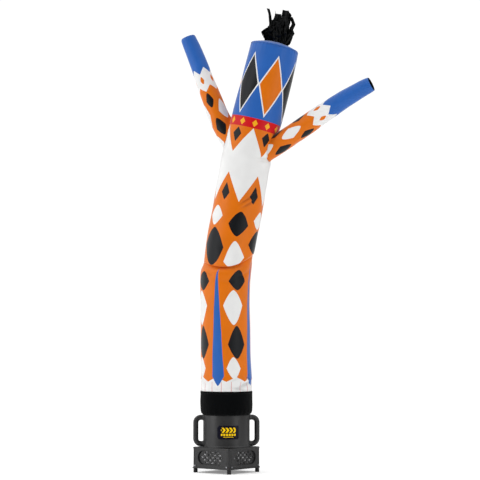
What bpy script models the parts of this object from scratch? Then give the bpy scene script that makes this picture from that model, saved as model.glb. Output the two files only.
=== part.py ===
"""An inflatable air dancer: a nylon tube with two arms and a tuft of streamers, on its round blower.

The frame: the origin is the centre of the blower's underside, +Z up, +X to the side that the
tube leans to, and the blower's label faces -Y. Metres and degrees throughout.
"""

import math

import bmesh
import bpy
from mathutils import Matrix, Vector

# Clearances and walls
GAP = 0.0003
CLOTH = 0.0015
SHELL = 0.004

# How meshes and cutters are made
MERGE = 0.00005
SHARP_ANGLE = 35
OVERSHOOT = 0.002
CORNER_STEPS = 4
SLOT_STEPS = 8

# Blower
BASE_TURN = 5.2
BASE_SIDE = 0.285
BASE_HEIGHT = 0.127
BASE_CORNER = 0.011
PLATE_SIDE = 0.294
PLATE_CORNER = 0.014
PLATE_THICK = 0.008
PANEL_SIDE = 0.230
PANEL_RISE = 0.0015
FOOT_RADIUS = 0.0125
FOOT_HEIGHT = 0.024
FOOT_OFFSET = 0.184
FOOT_SIDES = 14
FOOT_EDGE = 0.002
INTAKE_LENGTH = 0.210
INTAKE_HEIGHT = 0.088
INTAKE_DEPTH = 0.014
INTAKE_FLOOR = 0.003
INTAKE_WALL = 0.003
HOLE_RADIUS = 0.0100
HOLE_SIDES = 6
HOLE_PITCH = 0.0255
HOLE_ROW_PITCH = 0.0232
HOLE_MARGIN = 0.001
HOLE_ROWS = 3
DRUM_RADIUS = 0.1385
DRUM_TOP = 0.318
DRUM_FLARE = 0.005
DRUM_EDGE = 0.002
THROAT_RADIUS = 0.123
NECK_RADIUS = 0.129
NECK_HEIGHT = 0.050
HANDLE_TUBE = 0.0155
HANDLE_REACH = 0.183
HANDLE_LOW = 0.1455
HANDLE_HIGH = 0.3015
HANDLE_BEND = 0.030
HANDLE_SINK = 0.010
BEND_STEPS = 4
LABEL_SEGMENTS = 6
LABEL_LOW = 0.179
LABEL_HIGH = 0.259
LABEL_THICK = 0.001

# Tube, cuff and crown
SEGMENTS = 40
CUFF_TOP = 0.459
HEM_LAP = 0.012
HEM_RADIUS = 0.1520
CROWN_RADIUS = 0.1455
CROWN_BAND = 0.005
CROWN_RISE = 0.030
CROWN_X = 0.288
CROWN_Z = 2.512
CROWN_TILT = 12.9

# Arms
ARM_SEGMENTS = 20
ARM_ROOT_X = 0.140
ARM_SWING = 18.0
BORE_INSET = 0.0030
BORE_REACH = 3

# Streamers
PAD_RADIUS = 0.072
PAD_THICK = 0.008
PAD_STEPS = 3
STREAMER_THICK = 0.003
STREAMER_STEPS = 5
STREAMER_TAPER = 0.35
ROOT_RISE = 0.0048
GOLDEN_ANGLE = 137.508
FILL_STREAMERS = 9
FILL_REACH = 0.052
FILL_SPREAD = 1.33
FILL_LEAN = 0.022
FILL_HEIGHT = 0.150
FILL_VARIATION = 0.030
FILL_WIDTH = 0.030
FILL_FACE = 40
FILL_ZIGZAG = 0.006

# The tube's sections from the hem to the crown. A fold lowers the section by drop and draws it
# in by tuck at the compass angle fold_at, where 0 is the front and 90 is the +X side.
TUBE_COLUMNS = ("height", "x", "radius", "tilt", "fold_at", "drop", "tuck")
TUBE_ROWS = (
    (CUFF_TOP - HEM_LAP, 0.000, HEM_RADIUS, 0, 0, 0, 0),
    (CUFF_TOP + 0.006, 0.000, HEM_RADIUS, 0, 0, 0, 0),
    (0.520, 0.001, 0.1528, 0, 0, 0, 0),
    (0.575, 0.000, 0.1508, 0, 20, 0.002, 0.002),
    (0.677, -0.004, 0.1485, 0, 0, 0, 0),
    (0.821, -0.005, 0.1478, 0, 0, 0, 0),
    (0.980, -0.008, 0.1475, 0, 0, 0, 0),
    (1.085, -0.008, 0.1490, 0, 0, 0, 0),
    (1.150, -0.005, 0.1515, 0, 0, 0.006, 0),
    (1.195, 0.000, 0.1530, -2, 0, 0.020, 0.006),
    (1.228, 0.006, 0.1530, -4, 0, 0.038, 0.020),
    (1.252, 0.011, 0.1520, -5, 0, 0.045, 0.030),
    (1.266, 0.014, 0.1520, -6, 0, 0.067, -0.001),
    (1.290, 0.018, 0.1515, -5, 0, 0.068, -0.004),
    (1.340, 0.027, 0.1505, -1, 0, 0.045, -0.002),
    (1.400, 0.038, 0.1490, 5, 0, 0.015, 0),
    (1.503, 0.060, 0.1482, 10, 0, 0, 0),
    (1.646, 0.084, 0.1482, 10, 0, 0, 0),
    (1.780, 0.107, 0.1490, 10, 0, 0, 0),
    (1.838, 0.118, 0.1505, 11, 62, 0.004, -0.001),
    (1.862, 0.123, 0.1500, 12, 62, 0.008, 0.010),
    (1.884, 0.128, 0.1505, 12, 62, 0.006, 0),
    (1.950, 0.144, 0.1500, 13, 0, 0, 0),
    (2.113, 0.189, 0.1515, 14, 0, 0, 0),
    (2.240, 0.222, 0.1500, 14, 0, 0, 0),
    (2.364, 0.253, 0.1488, 14, 0, 0, 0),
    (2.450, 0.274, 0.1475, 13, 0, 0, 0),
    (CROWN_Z, CROWN_X, CROWN_RADIUS, CROWN_TILT, 0, 0, 0),
)
FOLD_SHARPNESS = 3

# The cuff's sections, from the lap over the tube's hem down to the drum's shoulder.
CUFF_COLUMNS = ("height", "radius")
CUFF_ROWS = (
    (CUFF_TOP, HEM_RADIUS + GAP + CLOTH),
    (0.425, 0.1552),
    (0.385, 0.1558),
    (0.350, 0.1548),
    (0.332, 0.1510),
    (0.323, 0.1450),
    (DRUM_TOP + GAP, DRUM_RADIUS - DRUM_EDGE - GAP),
)

# Each arm's centreline from inside the tube: out from the shoulder's middle, height, radius.
ARM_COLUMNS = ("out", "height", "radius")
ARM_ROWS = {
    "arm_right": (
        (0.030, 1.840, 0.0600),
        (0.130, 1.901, 0.0600),
        (0.237, 1.966, 0.0600),
        (0.325, 2.021, 0.0600),
        (0.410, 2.076, 0.0592),
        (0.500, 2.132, 0.0565),
        (0.584, 2.183, 0.0530),
        (0.672, 2.231, 0.0490),
        (0.722, 2.256, 0.0470),
        (0.750, 2.269, 0.0425),
    ),
    "arm_left": (
        (0.010, 1.800, 0.0635),
        (0.060, 1.877, 0.0635),
        (0.112, 1.957, 0.0665),
        (0.160, 2.038, 0.0655),
        (0.203, 2.120, 0.0630),
        (0.232, 2.194, 0.0600),
        (0.262, 2.268, 0.0575),
        (0.292, 2.343, 0.0548),
        (0.321, 2.420, 0.0530),
        (0.369, 2.535, 0.0495),
        (0.387, 2.575, 0.0475),
        (0.394, 2.592, 0.0435),
    ),
}
ARM_TURN = {"arm_right": -ARM_SWING, "arm_left": 180 - ARM_SWING}

# The streamers that make the tuft's outline, from the crown's middle: where each is rooted,
# where it ends, its width, the way its flat side faces, and how far it zigzags.
STREAMER_COLUMNS = ("root_x", "root_y", "tip_x", "tip_y", "tip_z", "width", "face", "zigzag")
STREAMER_ROWS = (
    (-0.028, -0.010, -0.037, -0.015, 0.244, 0.016, 10, 0.002),
    (-0.046, -0.012, -0.075, -0.020, 0.096, 0.036, 20, 0.004),
    (-0.048, 0.020, -0.046, 0.030, 0.128, 0.032, -25, 0.008),
    (-0.014, -0.022, 0.013, -0.030, 0.208, 0.050, 5, 0.004),
    (0.020, -0.012, 0.067, -0.010, 0.232, 0.040, -8, 0.004),
    (0.048, 0.000, 0.092, -0.006, 0.214, 0.042, 15, 0.010),
    (0.057, 0.020, 0.108, 0.030, 0.150, 0.034, -30, 0.012),
    (0.055, -0.024, 0.106, -0.040, 0.178, 0.040, -20, 0.008),
    (0.010, -0.045, 0.012, -0.070, 0.145, 0.036, 10, 0.007),
    (-0.030, -0.040, -0.038, -0.062, 0.110, 0.030, 25, 0.006),
)

CLOTH_ORANGE = (0.75, 0.20, 0.02)
CLOTH_BLUE = (0.05, 0.16, 0.47)
CLOTH_BLACK = (0.004, 0.004, 0.005)
SHELL_GREY = (0.045, 0.045, 0.048)
LABEL_NAVY = (0.01, 0.012, 0.06)
RUBBER_BLACK = (0.01, 0.01, 0.01)


def clear_scene():
    for obj in list(bpy.data.objects):
        bpy.data.objects.remove(obj, do_unlink=True)


def new_collection(name):
    collection = bpy.data.collections.new(name)
    bpy.context.scene.collection.children.link(collection)
    return collection


def new_material(name, colour, roughness):
    material = bpy.data.materials.new(name)
    material.use_nodes = True
    shader = material.node_tree.nodes["Principled BSDF"]
    shader.inputs["Base Color"].default_value = (*colour, 1)
    shader.inputs["Roughness"].default_value = roughness
    shader.inputs["Metallic"].default_value = 0
    material.diffuse_color = (*colour, 1)
    return material


def new_object(name, mesh, material=None):
    """An object in the part's collection, or a hidden cutter where it has no material."""
    obj = bpy.data.objects.new(name, mesh)
    if material:
        PART.objects.link(obj)
        mesh.materials.append(material)
    else:
        CUTTERS.objects.link(obj)
        obj.hide_render = True
        obj.display_type = "WIRE"
    return obj


def loft(name, rings):
    """A closed skin over a list of rings with equal counts of points."""
    bm = bmesh.new()
    made = [[bm.verts.new(point) for point in ring] for ring in rings]
    for low, high in zip(made, made[1:]):
        count = len(low)
        for i in range(count):
            j = (i + 1) % count
            bm.faces.new((low[i], low[j], high[j], high[i]))
    bm.faces.new(list(reversed(made[0])))
    bm.faces.new(made[-1])
    bmesh.ops.recalc_face_normals(bm, faces=bm.faces)
    mesh = bpy.data.meshes.new(name)
    bm.to_mesh(mesh)
    bm.free()
    mesh.shade_smooth()
    mesh.set_sharp_from_angle(angle=math.radians(SHARP_ANGLE))
    return mesh


def open_skin(name, rings):
    """A loft that is open at its ends, with its faces turned outwards."""
    mesh = loft(name, rings)
    bm = bmesh.new()
    bm.from_mesh(mesh)
    caps = [face for face in bm.faces if len(face.verts) > 4]
    bmesh.ops.delete(bm, geom=caps, context="FACES_ONLY")
    bm.to_mesh(mesh)
    bm.free()
    return mesh


def add_wall(obj, thickness):
    """Gives an open skin a wall on its inner side."""
    solidify = obj.modifiers.new("wall", "SOLIDIFY")
    solidify.thickness = thickness
    solidify.offset = -1
    solidify.use_even_offset = True


def cut(obj, cutter):
    boolean = obj.modifiers.new("cut", "BOOLEAN")
    boolean.operation = "DIFFERENCE"
    boolean.solver = "EXACT"
    boolean.object = cutter


def join(obj, other):
    """Fuses an object with another, whose own pieces may cross."""
    boolean = obj.modifiers.new("join", "BOOLEAN")
    boolean.operation = "UNION"
    boolean.solver = "EXACT"
    boolean.use_self = True
    boolean.object = other


def turned(name, profile, material=None):
    """A turned shape: a profile of (radius, height) points, spun about Z."""
    mesh = bpy.data.meshes.new(name)
    points = [(radius, 0, height) for radius, height in profile]
    mesh.from_pydata(points, [(i, i + 1) for i in range(len(points) - 1)], [])
    obj = new_object(name, mesh, material)
    screw = obj.modifiers.new("turn", "SCREW")
    screw.steps = SEGMENTS
    screw.render_steps = SEGMENTS
    screw.use_merge_vertices = True
    screw.merge_threshold = MERGE
    return obj


def stadium(length, height):
    """The outline of a slot with round ends, as (x, z) points."""
    radius = height / 2
    straight = length / 2 - radius
    points = []
    for side, start in ((1, -90), (-1, 90)):
        for i in range(SLOT_STEPS + 1):
            angle = math.radians(start + 180 * i / SLOT_STEPS)
            x = side * straight + radius * math.cos(angle)
            points.append((x, radius * math.sin(angle)))
    return points


def prism(name, outline, front, back):
    """An outline of (x, z) points pushed from y = front to y = back."""
    return loft(name, [[(x, y, z) for x, z in outline] for y in (front, back)])


# Tube and cuff

def tube_ring(row, extra=0.0):
    """One section of the tube, in a plane tilted towards +X, with its fold."""
    section = dict(zip(TUBE_COLUMNS, row))
    tilt = math.radians(section["tilt"])
    fold_at = math.radians(section["fold_at"])
    across = Vector((math.cos(tilt), 0, -math.sin(tilt)))
    along = Vector((math.sin(tilt), 0, math.cos(tilt)))
    front = Vector((0, -1, 0))
    centre = Vector((section["x"], 0, section["height"]))
    ring = []
    for i in range(SEGMENTS):
        angle = 2 * math.pi * i / SEGMENTS
        weight = ((1 + math.cos(angle - fold_at)) / 2) ** FOLD_SHARPNESS
        radius = section["radius"] - section["tuck"] * weight + extra
        flat = across * math.sin(angle) + front * math.cos(angle)
        ring.append(centre + flat * radius - along * section["drop"] * weight)
    return ring


def arm_rings(name, extra=0.0, rows=None):
    """The arm's sections, each square to its centreline."""
    table = [dict(zip(ARM_COLUMNS, row)) for row in ARM_ROWS[name][:rows]]
    turn = math.radians(ARM_TURN[name])
    out = Vector((math.cos(turn), math.sin(turn), 0))
    side = Vector((-math.sin(turn), math.cos(turn), 0))
    shoulder = Vector((ARM_ROOT_X, 0, 0))
    points = [shoulder + out * s["out"] + Vector((0, 0, s["height"])) for s in table]
    rings = []
    for i, (point, section) in enumerate(zip(points, table)):
        ahead = points[min(i + 1, len(points) - 1)] - points[max(i - 1, 0)]
        up = side.cross(ahead.normalized())
        radius = section["radius"] + extra
        ring = []
        for k in range(ARM_SEGMENTS):
            angle = 2 * math.pi * k / ARM_SEGMENTS
            ring.append(point + (side * math.cos(angle) + up * math.sin(angle)) * radius)
        rings.append(ring)
    return rings


def build_tube():
    skin = open_skin("body_tube", [tube_ring(row) for row in TUBE_ROWS])
    tube = new_object("body_tube", skin, MATERIALS["cloth_orange"])
    add_wall(tube, CLOTH)
    for name in ARM_ROWS:
        rings = arm_rings(name, -CLOTH - BORE_INSET, rows=BORE_REACH + 1)
        cut(tube, new_object(name + "_bore", loft(name + "_bore", rings)))
    return tube


def build_arms():
    """Each arm ends on the tube's outside, round the air hole."""
    rings = [tube_ring(row, GAP) for row in TUBE_ROWS]
    envelope = new_object("tube_envelope", loft("tube_envelope", rings))
    for name in ARM_ROWS:
        arm = new_object(name, open_skin(name, arm_rings(name)), MATERIALS["cloth_orange"])
        add_wall(arm, CLOTH)
        cut(arm, envelope)


def build_cuff():
    """The cuff, from the lap over the tube's hem down to the drum's shoulder."""
    sections = [dict(zip(CUFF_COLUMNS, row)) for row in CUFF_ROWS]
    cuff = turned("cuff", [(s["radius"], s["height"]) for s in sections], MATERIALS["cloth_black"])
    add_wall(cuff, CLOTH)


# Crown and streamers

def dome(radius):
    """The crown's height above its rim's plane at a distance from its middle."""
    sphere = (CROWN_RADIUS ** 2 + CROWN_RISE ** 2) / (2 * CROWN_RISE)
    return CROWN_BAND + CROWN_RISE - sphere + math.sqrt(sphere ** 2 - radius ** 2)


def crown_radii():
    """The crown's ring radii: even steps under the pad, and as many more out to the rim."""
    inner = [PAD_RADIUS * i / PAD_STEPS for i in range(PAD_STEPS)]
    outer = [PAD_RADIUS + (CROWN_RADIUS - PAD_RADIUS) * i / PAD_STEPS for i in range(PAD_STEPS + 1)]
    return inner + outer


def crown_place():
    tilt = Matrix.Rotation(math.radians(CROWN_TILT), 4, "Y")
    return Matrix.Translation((CROWN_X, 0, CROWN_Z)) @ tilt


def build_crown():
    profile = [(radius, dome(radius)) for radius in crown_radii()]
    profile.append((CROWN_RADIUS, GAP))
    crown = turned("crown", profile, MATERIALS["cloth_blue"])
    crown.matrix_world = crown_place()
    add_wall(crown, CLOTH)


def streamer_rings(row):
    """The four-sided sections of one streamer, each parallel to the crown."""
    s = dict(zip(STREAMER_COLUMNS, row))
    radius = math.hypot(s["root_x"], s["root_y"])
    root = Vector((s["root_x"], s["root_y"], dome(radius) + ROOT_RISE))
    up = Matrix.Rotation(math.radians(-CROWN_TILT), 3, "Y")
    tip = up @ Vector((s["tip_x"], s["tip_y"], s["tip_z"]))
    rings = []
    for i in range(STREAMER_STEPS + 1):
        t = i / STREAMER_STEPS
        face = math.radians(s["face"] * (1 + t))
        side = Vector((math.cos(face), math.sin(face), 0))
        through = Vector((-math.sin(face), math.cos(face), 0))
        swing = s["zigzag"] * (1 if i % 2 else -1) * min(1, 2 * t)
        centre = root.lerp(tip, t) + (side - through) * swing
        half = s["width"] / 2 * (1 - STREAMER_TAPER * t * t)
        thick = STREAMER_THICK / 2
        corners = ((-half, -thick), (half, -thick), (half, thick), (-half, thick))
        rings.append([centre + side * a + through * b for a, b in corners])
    return rings


def fill_rows():
    """Streamers that fill the tuft's middle, spread by the golden angle."""
    rows = []
    for i in range(FILL_STREAMERS):
        reach = FILL_REACH * math.sqrt((i + 0.5) / FILL_STREAMERS)
        angle = math.radians(GOLDEN_ANGLE * i)
        root_x = reach * math.cos(angle)
        root_y = reach * math.sin(angle)
        tip_x = root_x * FILL_SPREAD + FILL_LEAN
        tip_y = root_y * FILL_SPREAD
        tip_z = FILL_HEIGHT + FILL_VARIATION * math.cos(2 * angle)
        face = FILL_FACE * math.sin(3 * angle)
        rows.append((root_x, root_y, tip_x, tip_y, tip_z, FILL_WIDTH, face, FILL_ZIGZAG))
    return rows


def build_hair():
    radii = crown_radii()[: PAD_STEPS + 1]
    over = [(radius, dome(radius) + GAP + PAD_THICK) for radius in radii]
    under = [(radius, dome(radius) + GAP) for radius in reversed(radii)]
    hair = turned("hair", over + under, MATERIALS["cloth_black"])
    hair.matrix_world = crown_place()
    strands = bmesh.new()
    for row in STREAMER_ROWS + tuple(fill_rows()):
        piece = loft("streamer", streamer_rings(row))
        strands.from_mesh(piece)
        bpy.data.meshes.remove(piece)
    mesh = bpy.data.meshes.new("streamers")
    strands.to_mesh(mesh)
    strands.free()
    streamers = new_object("streamers", mesh)
    streamers.matrix_world = crown_place()
    join(hair, streamers)


# Blower

def turned_about_z(obj):
    obj.rotation_euler.z = math.radians(BASE_TURN)
    return obj


def square_block(name, side, low, high, corner, material=None):
    """A square block with round upright edges, its corners near the X and Y axes."""
    bpy.ops.mesh.primitive_cube_add(size=1)
    obj = bpy.context.object
    mesh = obj.data
    bpy.data.objects.remove(obj)
    mesh.name = name
    size = Matrix.Diagonal((side, side, high - low, 1))
    corner_on = Matrix.Rotation(math.radians(45), 4, "Z")
    mesh.transform(Matrix.Translation((0, 0, (low + high) / 2)) @ corner_on @ size)
    bm = bmesh.new()
    bm.from_mesh(mesh)
    upright = [e for e in bm.edges if abs(e.verts[0].co.z - e.verts[1].co.z) > MERGE]
    bmesh.ops.bevel(
        bm, geom=upright, offset=corner, segments=CORNER_STEPS, affect="EDGES", profile=0.5
    )
    bm.to_mesh(mesh)
    bm.free()
    return turned_about_z(new_object(name, mesh, material))


def face_place(index):
    """Puts what is modelled at y = 0, facing -Y, on one of the base's four sides."""
    turn = Matrix.Rotation(math.radians(BASE_TURN + 45 + 90 * index), 4, "Z")
    height = (PLATE_THICK + BASE_HEIGHT) / 2
    return turn @ Matrix.Translation((0, -BASE_SIDE / 2, height))


def hole_centres():
    """A staggered field of holes inside the intake's round-ended slot."""
    radius = INTAKE_HEIGHT / 2 - INTAKE_WALL - HOLE_RADIUS - HOLE_MARGIN
    straight = INTAKE_LENGTH / 2 - INTAKE_HEIGHT / 2
    columns = round(INTAKE_LENGTH / HOLE_PITCH)
    centres = []
    for row in range(HOLE_ROWS):
        z = (row - (HOLE_ROWS - 1) / 2) * HOLE_ROW_PITCH
        shift = 0.5 if row % 2 else 0
        for column in range(-columns, columns):
            x = (column + shift) * HOLE_PITCH
            outside = math.hypot(max(abs(x) - straight, 0), z)
            if outside <= radius:
                centres.append((x, z))
    return centres


def build_intakes():
    outline = stadium(INTAKE_LENGTH, INTAKE_HEIGHT)
    inner = stadium(INTAKE_LENGTH - 2 * INTAKE_WALL, INTAKE_HEIGHT - 2 * INTAKE_WALL)
    floor = INTAKE_DEPTH - INTAKE_FLOOR
    corners = [2 * math.pi * (k + 0.5) / HOLE_SIDES for k in range(HOLE_SIDES)]
    holes = bmesh.new()
    for x, z in hole_centres():
        hole = [(x + HOLE_RADIUS * math.cos(a), z + HOLE_RADIUS * math.sin(a)) for a in corners]
        piece = prism("hole", hole, floor - OVERSHOOT, INTAKE_DEPTH + OVERSHOOT)
        holes.from_mesh(piece)
        bpy.data.meshes.remove(piece)
    hole_mesh = bpy.data.meshes.new("intake_holes")
    holes.to_mesh(hole_mesh)
    holes.free()
    for index in range(4):
        name = f"intake_{index + 1}"
        tray = new_object(name, prism(name, outline, 0, INTAKE_DEPTH), MATERIALS["shell"])
        recess = new_object(name + "_recess", prism(name + "_recess", inner, -OVERSHOOT, floor))
        field = new_object(name + "_holes", hole_mesh)
        for obj in (tray, recess, field):
            obj.matrix_world = face_place(index)
        cut(tray, recess)
        cut(tray, field)


def build_base_plate():
    """The housing's bottom plate, with a flat raised panel between its feet."""
    shell = MATERIALS["shell"]
    plate = square_block("base_plate", PLATE_SIDE, PANEL_RISE, PLATE_THICK, PLATE_CORNER, shell)
    join(plate, square_block("panel", PANEL_SIDE, 0, PLATE_THICK - PANEL_RISE, PLATE_CORNER))


def build_housing():
    """The square fan housing: four walls with a slot each, and a top with the fan's round hole."""
    low = PLATE_THICK + GAP
    inner_side = BASE_SIDE - 2 * SHELL
    inner_corner = BASE_CORNER - SHELL
    housing = square_block("housing", BASE_SIDE, low, BASE_HEIGHT, BASE_CORNER, MATERIALS["shell"])
    cut(housing, square_block("inside", inner_side, low - SHELL, BASE_HEIGHT - SHELL, inner_corner))
    top = BASE_HEIGHT + OVERSHOOT
    bottom = BASE_HEIGHT - SHELL - OVERSHOOT
    throat = turned("throat", [(0, top), (THROAT_RADIUS, top), (THROAT_RADIUS, bottom), (0, bottom)])
    cut(housing, turned_about_z(throat))
    slot = stadium(INTAKE_LENGTH + 2 * GAP, INTAKE_HEIGHT + 2 * GAP)
    for index in range(4):
        cutter = new_object(f"slot_{index + 1}", prism("slot", slot, -OVERSHOOT, INTAKE_DEPTH))
        cutter.matrix_world = face_place(index)
        cut(housing, cutter)


def drum_side(extra=0.0):
    """The drum's outside below its shoulder, top to bottom: a straight wall over a flared foot."""
    foot = BASE_HEIGHT + GAP
    radius = DRUM_RADIUS + extra
    return [
        (radius, DRUM_TOP - DRUM_EDGE),
        (radius, foot + 2 * DRUM_FLARE + extra),
        (radius + DRUM_FLARE, foot + DRUM_FLARE + extra),
        (radius + DRUM_FLARE, foot),
    ]


def build_drum():
    """One moulded shell: a flared foot, a straight wall, a shoulder and the neck in the cuff."""
    neck = [(NECK_RADIUS, DRUM_TOP + NECK_HEIGHT), (NECK_RADIUS, DRUM_TOP)]
    shoulder = [(DRUM_RADIUS - DRUM_EDGE, DRUM_TOP)]
    drum = turned_about_z(turned("drum", neck + shoulder + drum_side(), MATERIALS["shell"]))
    add_wall(drum, SHELL)


def handle_route(side):
    """The handle's centreline: out of the drum, down, and back into it."""
    root = DRUM_RADIUS - HANDLE_SINK
    bend = HANDLE_BEND
    centre_x = HANDLE_REACH - bend
    points = [(root, HANDLE_HIGH)]
    for centre_z, start in ((HANDLE_HIGH - bend, 90), (HANDLE_LOW + bend, 0)):
        for i in range(BEND_STEPS + 1):
            angle = math.radians(start - 90 * i / BEND_STEPS)
            points.append((centre_x + bend * math.cos(angle), centre_z + bend * math.sin(angle)))
    points.append((root, HANDLE_LOW))
    return [(side * x, 0, z) for x, z in points]


def build_handles():
    """Two round tubes, cut off at the drum's wall."""
    wall = drum_side(GAP)
    top = DRUM_TOP + HANDLE_TUBE
    closed = [(0, top), (wall[0][0], top)] + wall + [(0, wall[-1][1])]
    envelope = turned_about_z(turned("drum_envelope", closed))
    for name, side in (("handle_left", -1), ("handle_right", 1)):
        curve = bpy.data.curves.new(name, "CURVE")
        curve.dimensions = "3D"
        curve.bevel_depth = HANDLE_TUBE
        curve.bevel_resolution = 2
        curve.use_fill_caps = True
        spline = curve.splines.new("POLY")
        route = handle_route(side)
        spline.points.add(len(route) - 1)
        for point, place in zip(spline.points, route):
            point.co = (*place, 1)
        guide = bpy.data.objects.new(name + "_guide", curve)
        CUTTERS.objects.link(guide)
        bpy.context.view_layer.update()
        evaluated = guide.evaluated_get(bpy.context.evaluated_depsgraph_get())
        mesh = bpy.data.meshes.new_from_object(evaluated)
        bpy.data.objects.remove(guide)
        bm = bmesh.new()
        bm.from_mesh(mesh)
        bmesh.ops.remove_doubles(bm, verts=bm.verts, dist=MERGE)
        bm.to_mesh(mesh)
        bm.free()
        handle = turned_about_z(new_object(name, mesh, MATERIALS["shell"]))
        cut(handle, envelope)


def build_label():
    """A bare plate, bent to the drum and facing its front."""
    inner = DRUM_RADIUS + GAP
    steps = range(-LABEL_SEGMENTS // 2, LABEL_SEGMENTS // 2 + 1)
    angles = [2 * math.pi * step / SEGMENTS for step in steps]
    outline = [(inner, a) for a in angles]
    outline += [(inner + LABEL_THICK, a) for a in reversed(angles)]
    rings = []
    for height in (LABEL_LOW, LABEL_HIGH):
        rings.append([(r * math.sin(a), -r * math.cos(a), height) for r, a in outline])
    turned_about_z(new_object("label_plate", loft("label_plate", rings), MATERIALS["label"]))


def build_feet():
    """Four round feet, one under each corner of the plate."""
    top = PANEL_RISE - GAP
    depth = top + FOOT_HEIGHT
    for index in range(4):
        bpy.ops.mesh.primitive_cylinder_add(vertices=FOOT_SIDES, radius=FOOT_RADIUS, depth=depth)
        mesh = bpy.context.object.data
        bpy.data.objects.remove(bpy.context.object)
        foot = new_object(f"foot_{index + 1}", mesh, MATERIALS["rubber"])
        angle = math.radians(BASE_TURN + 90 * index)
        x = FOOT_OFFSET * math.cos(angle)
        y = FOOT_OFFSET * math.sin(angle)
        foot.location = (x, y, top - depth / 2)
        bevel = foot.modifiers.new("edge", "BEVEL")
        bevel.width = FOOT_EDGE
        bevel.segments = 1
        bevel.limit_method = "ANGLE"


clear_scene()
PART = new_collection("air_dancer")
CUTTERS = new_collection("cutters")
MATERIALS = {
    "cloth_orange": new_material("ripstop_orange", CLOTH_ORANGE, 0.55),
    "cloth_blue": new_material("ripstop_blue", CLOTH_BLUE, 0.55),
    "cloth_black": new_material("ripstop_black", CLOTH_BLACK, 0.6),
    "shell": new_material("moulded_shell", SHELL_GREY, 0.5),
    "rubber": new_material("foot_rubber", RUBBER_BLACK, 0.8),
    "label": new_material("label_film", LABEL_NAVY, 0.4),
}
build_tube()
build_arms()
build_cuff()
build_crown()
build_hair()
build_base_plate()
build_housing()
build_intakes()
build_drum()
build_handles()
build_label()
build_feet()
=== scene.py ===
"""Finishes for an inflatable air dancer: printed nylon, film streamers and a moulded fan blower.

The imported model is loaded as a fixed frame. Each piece here is modelled over one of its nodes, in
the same frame and in metres, and gets the material that such a piece is made of.
"""

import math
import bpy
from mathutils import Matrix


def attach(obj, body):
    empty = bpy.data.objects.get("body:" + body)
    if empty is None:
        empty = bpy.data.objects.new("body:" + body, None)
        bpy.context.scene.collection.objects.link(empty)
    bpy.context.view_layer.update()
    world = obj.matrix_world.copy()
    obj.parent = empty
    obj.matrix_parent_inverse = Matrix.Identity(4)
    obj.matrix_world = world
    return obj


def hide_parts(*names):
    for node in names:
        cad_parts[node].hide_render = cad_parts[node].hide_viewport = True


bl_info = {
    "name": "Air dancer finishes",
    "version": (1, 0, 0),
    "blender": (4, 5, 0),
    "location": "3D View > Sidebar > Air Dancer",
    "description": "Models the cloth, streamers, blower and studio of an inflatable air dancer",
    "category": "Object",
}

import bmesh
import bpy
from bpy.props import FloatProperty, FloatVectorProperty, PointerProperty
from mathutils import Matrix, Vector, noise
from mathutils.bvhtree import BVHTree

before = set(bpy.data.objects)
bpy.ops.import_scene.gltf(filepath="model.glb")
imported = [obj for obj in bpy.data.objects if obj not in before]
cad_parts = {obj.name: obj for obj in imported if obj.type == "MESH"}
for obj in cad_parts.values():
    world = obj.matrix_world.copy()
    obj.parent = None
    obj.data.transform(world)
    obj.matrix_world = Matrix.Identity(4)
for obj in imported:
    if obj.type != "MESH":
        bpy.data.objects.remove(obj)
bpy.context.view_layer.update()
FLOOR = -0.024
MM = 0.001

# Tube sections from the hem to the crown. A fold lowers the section by drop and draws it in by
# tuck at the compass angle fold_at, where 0 is the front and 90 is the +X side.
TUBE_COLUMNS = ("height", "x", "radius", "tilt", "fold_at", "drop", "tuck")
TUBE_ROWS = (
    (0.4470, 0.000, 0.1520, 0, 0, 0, 0),
    (0.4650, 0.000, 0.1520, 0, 0, 0, 0),
    (0.520, 0.001, 0.1528, 0, 0, 0, 0),
    (0.575, 0.000, 0.1508, 0, 0, 0.002, 0.002),
    (0.677, -0.004, 0.1485, 0, 0, 0, 0),
    (0.821, -0.005, 0.1478, 0, 0, 0, 0),
    (0.980, -0.008, 0.1475, 0, 0, 0, 0),
    (1.085, -0.008, 0.1490, 0, 0, 0, 0),
    (1.150, -0.005, 0.1515, -1, 0, 0.006, 0),
    (1.195, 0.000, 0.1530, -4, 0, 0.020, 0.006),
    (1.228, 0.006, 0.1530, -7, 0, 0.038, 0.022),
    (1.252, 0.011, 0.1520, -9, 0, 0.045, 0.034),
    (1.266, 0.014, 0.1520, -10, 0, 0.067, -0.002),
    (1.290, 0.018, 0.1515, -8, 0, 0.068, -0.005),
    (1.340, 0.027, 0.1505, -3, 0, 0.045, -0.002),
    (1.400, 0.038, 0.1490, 4, 0, 0.015, 0),
    (1.503, 0.060, 0.1482, 10, 0, 0, 0),
    (1.646, 0.084, 0.1482, 10, 0, 0, 0),
    (1.780, 0.107, 0.1490, 10, 30, 0, 0),
    (1.838, 0.118, 0.1500, 11, 62, 0.003, 0),
    (1.862, 0.123, 0.1500, 12, 62, 0.005, 0.004),
    (1.884, 0.128, 0.1500, 12, 62, 0.004, 0),
    (1.950, 0.144, 0.1500, 13, 30, 0, 0),
    (2.113, 0.189, 0.1515, 14, 0, 0, 0),
    (2.240, 0.222, 0.1500, 14, 0, 0, 0),
    (2.364, 0.253, 0.1488, 14, 0, 0, 0),
    (2.450, 0.274, 0.1475, 13, 0, 0, 0),
    (2.512, 0.288, 0.1455, 12.9, 0, 0, 0),
)
TUBE_TOP = dict(zip(TUBE_COLUMNS, TUBE_ROWS[-1]))
TUBE_RADIUS = 0.149
FOLD_SHARPNESS = 3
TUBE_STEP = 0.0065
TUBE_SIDES = 132

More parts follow.
